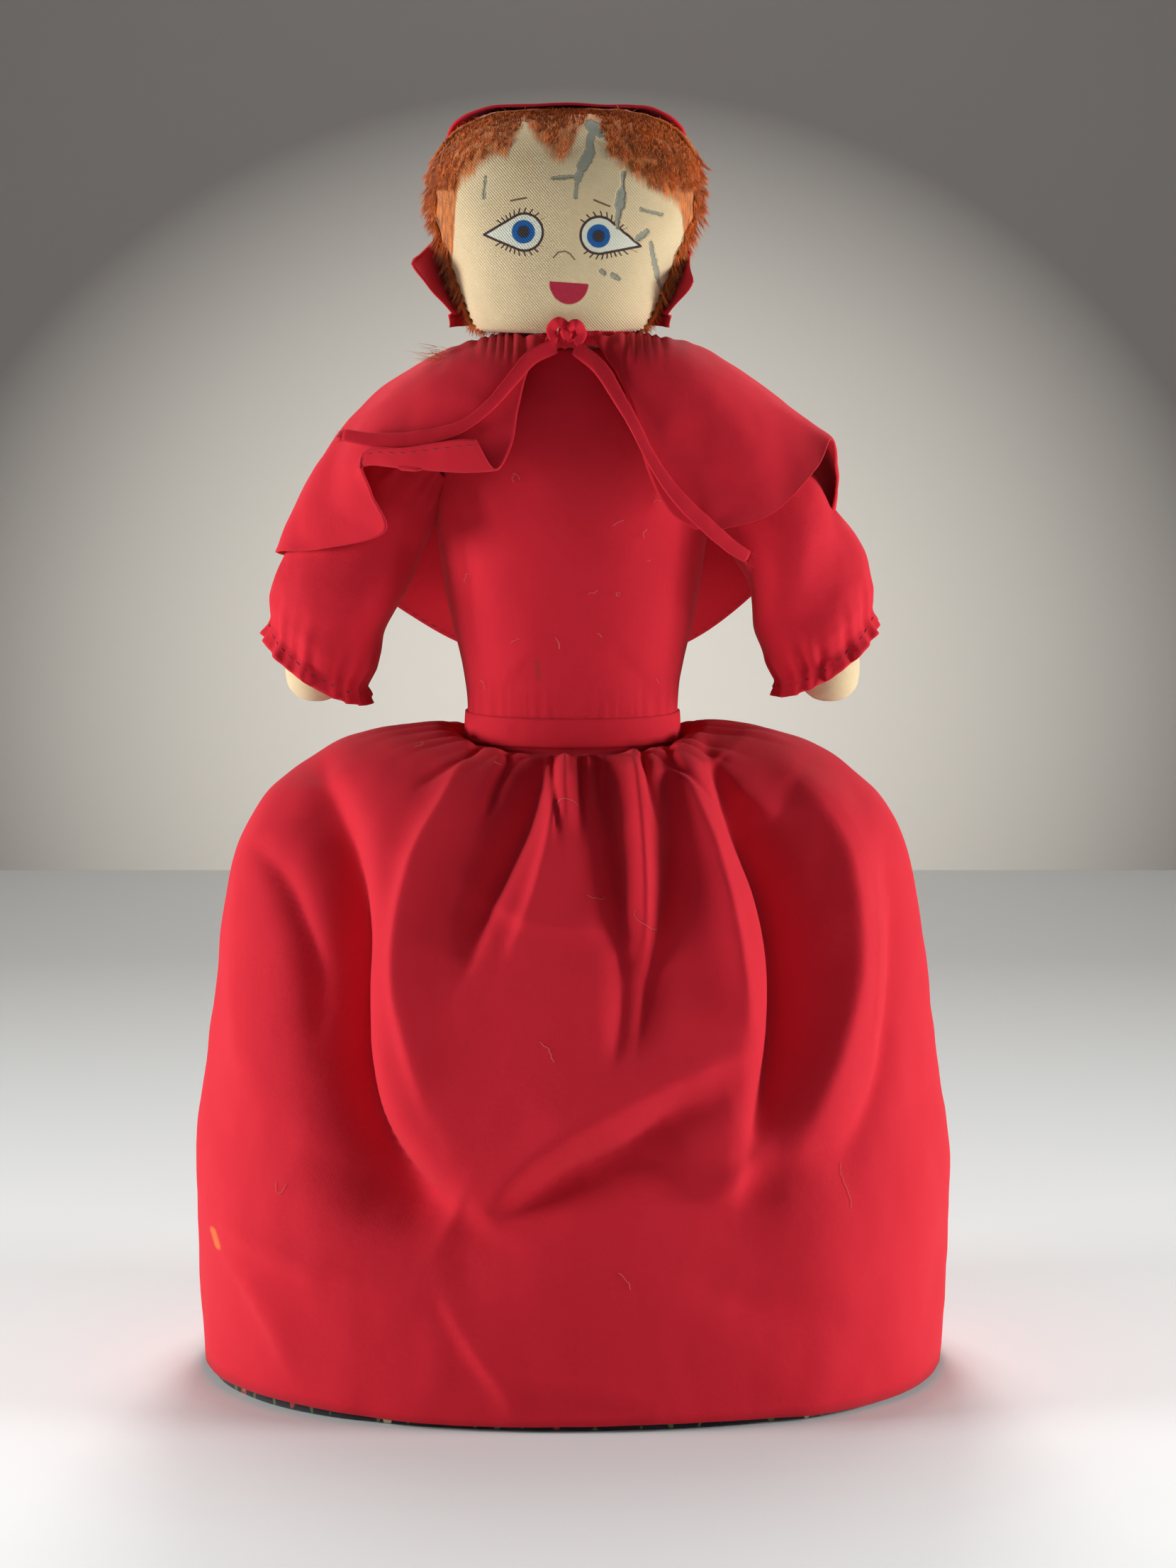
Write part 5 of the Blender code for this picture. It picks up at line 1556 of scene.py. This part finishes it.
class MakeHeads(bpy.types.Operator):
    """Makes both stuffed heads, each a printed face panel and a plush back."""

    bl_idname = "doll.heads"
    bl_label = "Heads"

    def execute(self, context):
        for half in ("red", "print"):
            face = relieved(head_surface(half, 0.0, *FACE_TURNS), self.dimples)
            mesh = cloth_mesh(120, 110, face, (1, 1), 2e-6)
            layer = mesh.loops.layers.uv["UVMap"]
            for polygon in mesh.faces:
                for loop in polygon.loops:
                    x, _, z = loop.vert.co
                    if half == "print":
                        x, z = -x, 2 * WAIST_HEIGHT - z
                    loop[layer].uv = (x, z - WAIST_HEIGHT - HEAD_BASE)
            panel = Wardrobe.piece(half + "_face", mesh, "face", TWILL_WALL, "root", [half + "_face_panel"])
            back = relieved(head_surface(half, PLUSH_PILE, *PLUSH_TURNS), self.tufts)
            mesh = cloth_mesh(120, 90, back, (0.12, 0.09), 2e-6)
            plush = Wardrobe.piece(half + "_plush", mesh, "plush", 0.0012, "root", [half + "_head_back"])
            self.make_pile(half)
        return {"FINISHED"}

    def dimples(self, u, v, points):
        edge = fade(np.abs(u - 0.5), 0.38, 0.5)
        puckers = 0.35 * np.sin(160 * v + 3 * np.sin(20 * v)) * edge
        return (lumps(points, (0.35, 0.016, 2.0), (0.12, 0.006, 3.0)) + puckers) * MM * fade(v, 1.0, 0.93)

    def tufts(self, u, v, points):
        return lumps(points, (0.5, 0.005, 2.0), (0.3, 0.0022, 3.0)) * MM * fade(v, 1.0, 0.95)

    def make_pile(self, half):
        """Pile over the back of the head, and locks that lap over its sides and the brow."""
        _, sizes = settings()
        rng = np.random.default_rng(11 if half == "red" else 12)
        plush = relieved(head_surface(half, PLUSH_PILE, *PLUSH_TURNS), self.tufts)
        face = head_surface(half, 0.0006, *FACE_TURNS)
        down = -1.0 if half == "red" else 1.0
        count, sides, brow = PILE_COUNTS[half]
        roots, outwards = edge_line(plush, rng.uniform(0, 1, count), rng.beta(1.2, 1.0, count) * 0.97)
        places = []
        for root, out in zip(roots, outwards):
            way = out * 0.5 + rng.normal(0, 0.35, 3) + (0, 0, 0.75 * down)
            length = sizes.pile_length * rng.uniform(0.45, 0.8)
            places.append(strand_place(root - out * 0.0004, way, length, 0.00011, (0, 0, 0.35 * down)))
        Wardrobe.piece(half + "_pile", scattered(strand_shape(3, 2), places), "plush", 0.0, "root")

        # Locks stand out over both side seams, and lie flat over the brow
        at_left = rng.random(sides) < 0.5
        along = rng.uniform(0.30, 0.80, sides)
        near_seam = rng.uniform(0.0, 0.06, sides)
        roots, outwards = edge_line(plush, np.where(at_left, 1 - near_seam, near_seam), along)
        locks = [(root, out, 0.28, 1.1) for root, out in zip(roots, outwards)]
        near_seam = rng.uniform(0.0, 0.07, sides)
        roots, outwards = edge_line(face, np.where(at_left, near_seam, 1 - near_seam), along)
        locks += [(root, out, 0.15, 0.95) for root, out in zip(roots, outwards)]
        roots, outwards = edge_line(face, rng.uniform(0.03, 0.97, brow), rng.uniform(0.55, 0.985, brow))
        heights = np.abs(roots[:, 2] - WAIST_HEIGHT) - HEAD_BASE
        x = roots[:, 0] * (TO_MM if half == "red" else -TO_MM)
        hairline = np.interp(x, *np.transpose(HAIRLINE_MM))
        for root, out, over in zip(roots, outwards, heights * TO_MM - hairline):
            if over > rng.uniform(1.0, 7.0):
                locks.append((root, out, 0.10, 0.75))
        places = []
        for _ in range(WISP_COUNT if half == "red" else 0):
            start = np.array(WISP_START) + rng.normal(0, 0.0012, 3)
            way = np.array((-1.0, 0.0, -0.15)) + rng.normal(0, 0.45, 3)
            places.append(strand_place(start, way, rng.uniform(0.004, 0.009), 0.00009, rng.normal(0, 0.3, 3)))
        for root, out, stand, size in locks:
            outer = np.array((math.copysign(1.0, root[0]), 0.0, 0.0))
            lean = out * stand + outer * rng.normal(0.04, 0.14) + (0, 0, down * rng.uniform(0.6, 1.0))
            tip = root + unit(lean) * sizes.pile_length * size * rng.uniform(0.8, 1.35)
            side = unit(np.cross(out, lean))
            for _ in range(STRANDS_PER_LOCK):
                start = root + side * rng.normal(0, 0.0006) + unit(lean) * rng.normal(0, 0.0004) - out * 0.0002
                way = tip - start + rng.normal(0, 0.00035, 3)
                sag = out * 0.10 - side * rng.normal(0, 0.05)
                places.append(strand_place(start, way, float(np.linalg.norm(way)), 0.00010, sag))
        Wardrobe.piece(half + "_fringe", scattered(strand_shape(3, 3), places), "plush", 0.0, "root")


class MakeHood(bpy.types.Operator):
    """Makes the hood behind the red doll's head."""

    bl_idname = "doll.hood"
    bl_label = "Hood"

    def execute(self, context):
        _, sizes = settings()

        def relief(u, v, points):
            puckers = 0.5 * np.sin(70 * u + 2 * np.sin(9 * u)) * fade(v, 0.22, 0.0)
            return (lumps(points, (0.9, 0.017, 6.0), (0.35, 0.007, 2.0)) + puckers) * MM * fade(v, 1.0, 0.93)

        surface = relieved(hood_surface(), relief)
        mesh = cloth_mesh(150, 100, surface, (0.115, 0.072), 2e-6)
        hood = Wardrobe.piece("hood_cloth", mesh, "red_cotton", sizes.cloth_wall, "hood", ["red_hood"])
        return {"FINISHED"}


class MakeCape(bpy.types.Operator):
    """Makes the short cape in two halves that meet at the middle of the back."""

    bl_idname = "doll.cape"
    bl_label = "Cape"

    def execute(self, context):
        _, sizes = settings()
        for hand, first, last, side in (("left", 0.0, 0.5, -1), ("right", 0.5, 1.0, 1)):
            surface = relieved(cape_surface(first, last), self.drape)
            mesh = cloth_mesh(150, 96, surface, (0.15, 0.085))
            half = Wardrobe.piece(f"cape_{hand}", mesh, "red_cotton", sizes.cloth_wall, None, ["red_cape"])
            self.bend_at_shoulder(half, hand, side)
            line, outwards = edge_line(surface, np.linspace(0.01, 0.99, 160), np.full(160, 0.035))
            stitches = scattered(stitch_shape(), stitch_places(line, outwards, sizes.stitch_length, 0.0012, 0.00014))
            seam = Wardrobe.piece(f"cape_{hand}_stitches", stitches, "thread")
            self.bend_at_shoulder(seam, hand, side)
        return {"FINISHED"}

    def bend_at_shoulder(self, obj, hand, side):
        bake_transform(obj)

    def drape(self, u, v, points):
        gather = 0.55 * np.sin(points[:, 0] * 1900 + 3 * np.sin(points[:, 0] * 300)) * fade(v, 0.75, 1.0)
        wave = 1.1 * np.sin(np.arctan2(points[:, 0], -points[:, 1]) * 9 + 1) * fade(v, 0.8, 0.2)
        back = fade(points[:, 1], 0.0, 0.02)
        return (gather + wave * (0.3 + 0.7 * back) + lumps(points, (0.5, 0.013, 9.0), (0.2, 0.006, 5.0))) * MM


class MakeFillings(bpy.types.Operator):
    """Makes the stuffing inside the body, the heads and the arms."""

    bl_idname = "doll.fillings"
    bl_label = "Stuffing"

    def execute(self, context):
        for part in ("body", "red_head", "print_head", *(f"{half}_{hand}_arm" for half, hand, _ in ARMS)):
            node, name = part + "_stuffing", part + "_fill"
            mesh = bmesh.new()
            mesh.from_mesh(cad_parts[node].data)
            bmesh.ops.remove_doubles(mesh, verts=mesh.verts, dist=1e-6)
            bmesh.ops.subdivide_edges(mesh, edges=mesh.edges, cuts=2, use_grid_fill=True)
            mesh.normal_update()
            for vert in mesh.verts:
                vert.co -= vert.normal * (0.0002 + 0.0003 * abs(noise.noise(vert.co / 0.006)))
                if "head" in part:
                    self.follow_jaw(vert, 1 if part.startswith("red") else -1)
            body = part if "arm" in part else "root"
            fill = Wardrobe.piece(name, mesh, "fill", 0.0, body, [node])
        return {"FINISHED"}

    def follow_jaw(self, vert, way):
        """Narrows and leans a head's filling as its skin is narrowed and leans towards the neck."""
        height = (abs(vert.co.z - WAIST_HEIGHT) - HEAD_BASE) / HEAD_HEIGHT
        narrowed = np.interp(height, *np.transpose(JAW_SHARES)) * FILL_SHARE
        vert.co.x = vert.co.x * float(narrowed) - way * float(np.interp(height, (0, 1), HEAD_LEANS))


class MakeLint(bpy.types.Operator):
    """Scatters the loose hairs and threads that have settled on the dress."""

    bl_idname = "doll.lint"
    bl_label = "Lint"

    def execute(self, context):
        rng = np.random.default_rng(21)
        bodice = torso_surface("red", -0.0003, TORSO_STOPS, BODICE_START, first=-0.2, last=0.2)
        self.curls("bodice_lint", bodice, BODICE_HAIRS, rng, (0.1, 0.9), (0.10, 0.80))
        skirt = relieved(skirt_surface(RED_TUCK), skirt_relief)

        def front(u, v):
            return skirt(u * 0.36 - 0.18, v)

        self.curls("skirt_lint", front, SKIRT_HAIRS, rng, (0.05, 0.95), (0.1, 0.80))
        return {"FINISHED"}

    def curls(self, name, surface, count, rng, across, up):
        """Fine hairs, each a short wandering line on the cloth."""
        hairs = []
        for _ in range(count):
            u, v = rng.uniform(*across), rng.uniform(*up)
            heading, curl = rng.uniform(0, TAU), rng.normal(0, 0.12)
            step = rng.uniform(0.002, 0.005)
            us, vs = [u], [v]
            for _ in range(9):
                heading += curl + rng.normal(0, 0.55)
                us.append(us[-1] + step * math.cos(heading))
                vs.append(vs[-1] + step * math.sin(heading))
            line, outwards = edge_line(surface, np.clip(us, 0.01, 0.99), np.clip(vs, 0.01, 0.97))
            route = line + outwards * 0.0003
            hairs.append(tube_surface(route, capped(HAIR_RADIUS), capped(HAIR_RADIUS), (0.2, -1, 0.1)))
        whole = bmesh.new()
        for tube in hairs:
            hair = mesh_data("hair", cloth_mesh(4, 18, tube, (0.0004, 0.01), 1e-7))
            whole.from_mesh(hair)
            bpy.data.meshes.remove(hair)
        Wardrobe.piece(name, whole, "lint", 0.0, "root")


class DollPanel(bpy.types.Panel):
    """Lists the pieces that can be made again one by one."""

    bl_idname = "VIEW3D_PT_doll"
    bl_label = "Topsy Turvy Doll"
    bl_space_type = "VIEW_3D"
    bl_region_type = "UI"
    bl_category = "Doll"

    def draw(self, context):
        column = self.layout.column()
        for group in (context.scene.doll_colours, context.scene.doll_sizes):
            for name in group.__annotations__:
                column.prop(group, name)
        for operator in OPERATORS:
            column.operator(operator.bl_idname)


OPERATORS = (
    MakeStage, MakeTie, MakeFillings, MakeBodices, MakeArms, MakeSleeves, MakeSkirts, MakeHeads, MakeHood, MakeCape,
    MakeLint,
)
CLASSES = (DollColours, DollSizes, *OPERATORS, DollPanel)


def register():
    for each in CLASSES:
        bpy.utils.register_class(each)
    bpy.types.Scene.doll_colours = bpy.props.PointerProperty(type=DollColours)
    bpy.types.Scene.doll_sizes = bpy.props.PointerProperty(type=DollSizes)


def unregister():
    del bpy.types.Scene.doll_colours
    del bpy.types.Scene.doll_sizes
    for each in reversed(CLASSES):
        bpy.utils.unregister_class(each)


def main():
    register()
    make_finishes(*settings())
    for operator in OPERATORS:
        group, name = operator.bl_idname.split(".")
        getattr(getattr(bpy.ops, group), name)()


if __name__ == "__main__":
    main()
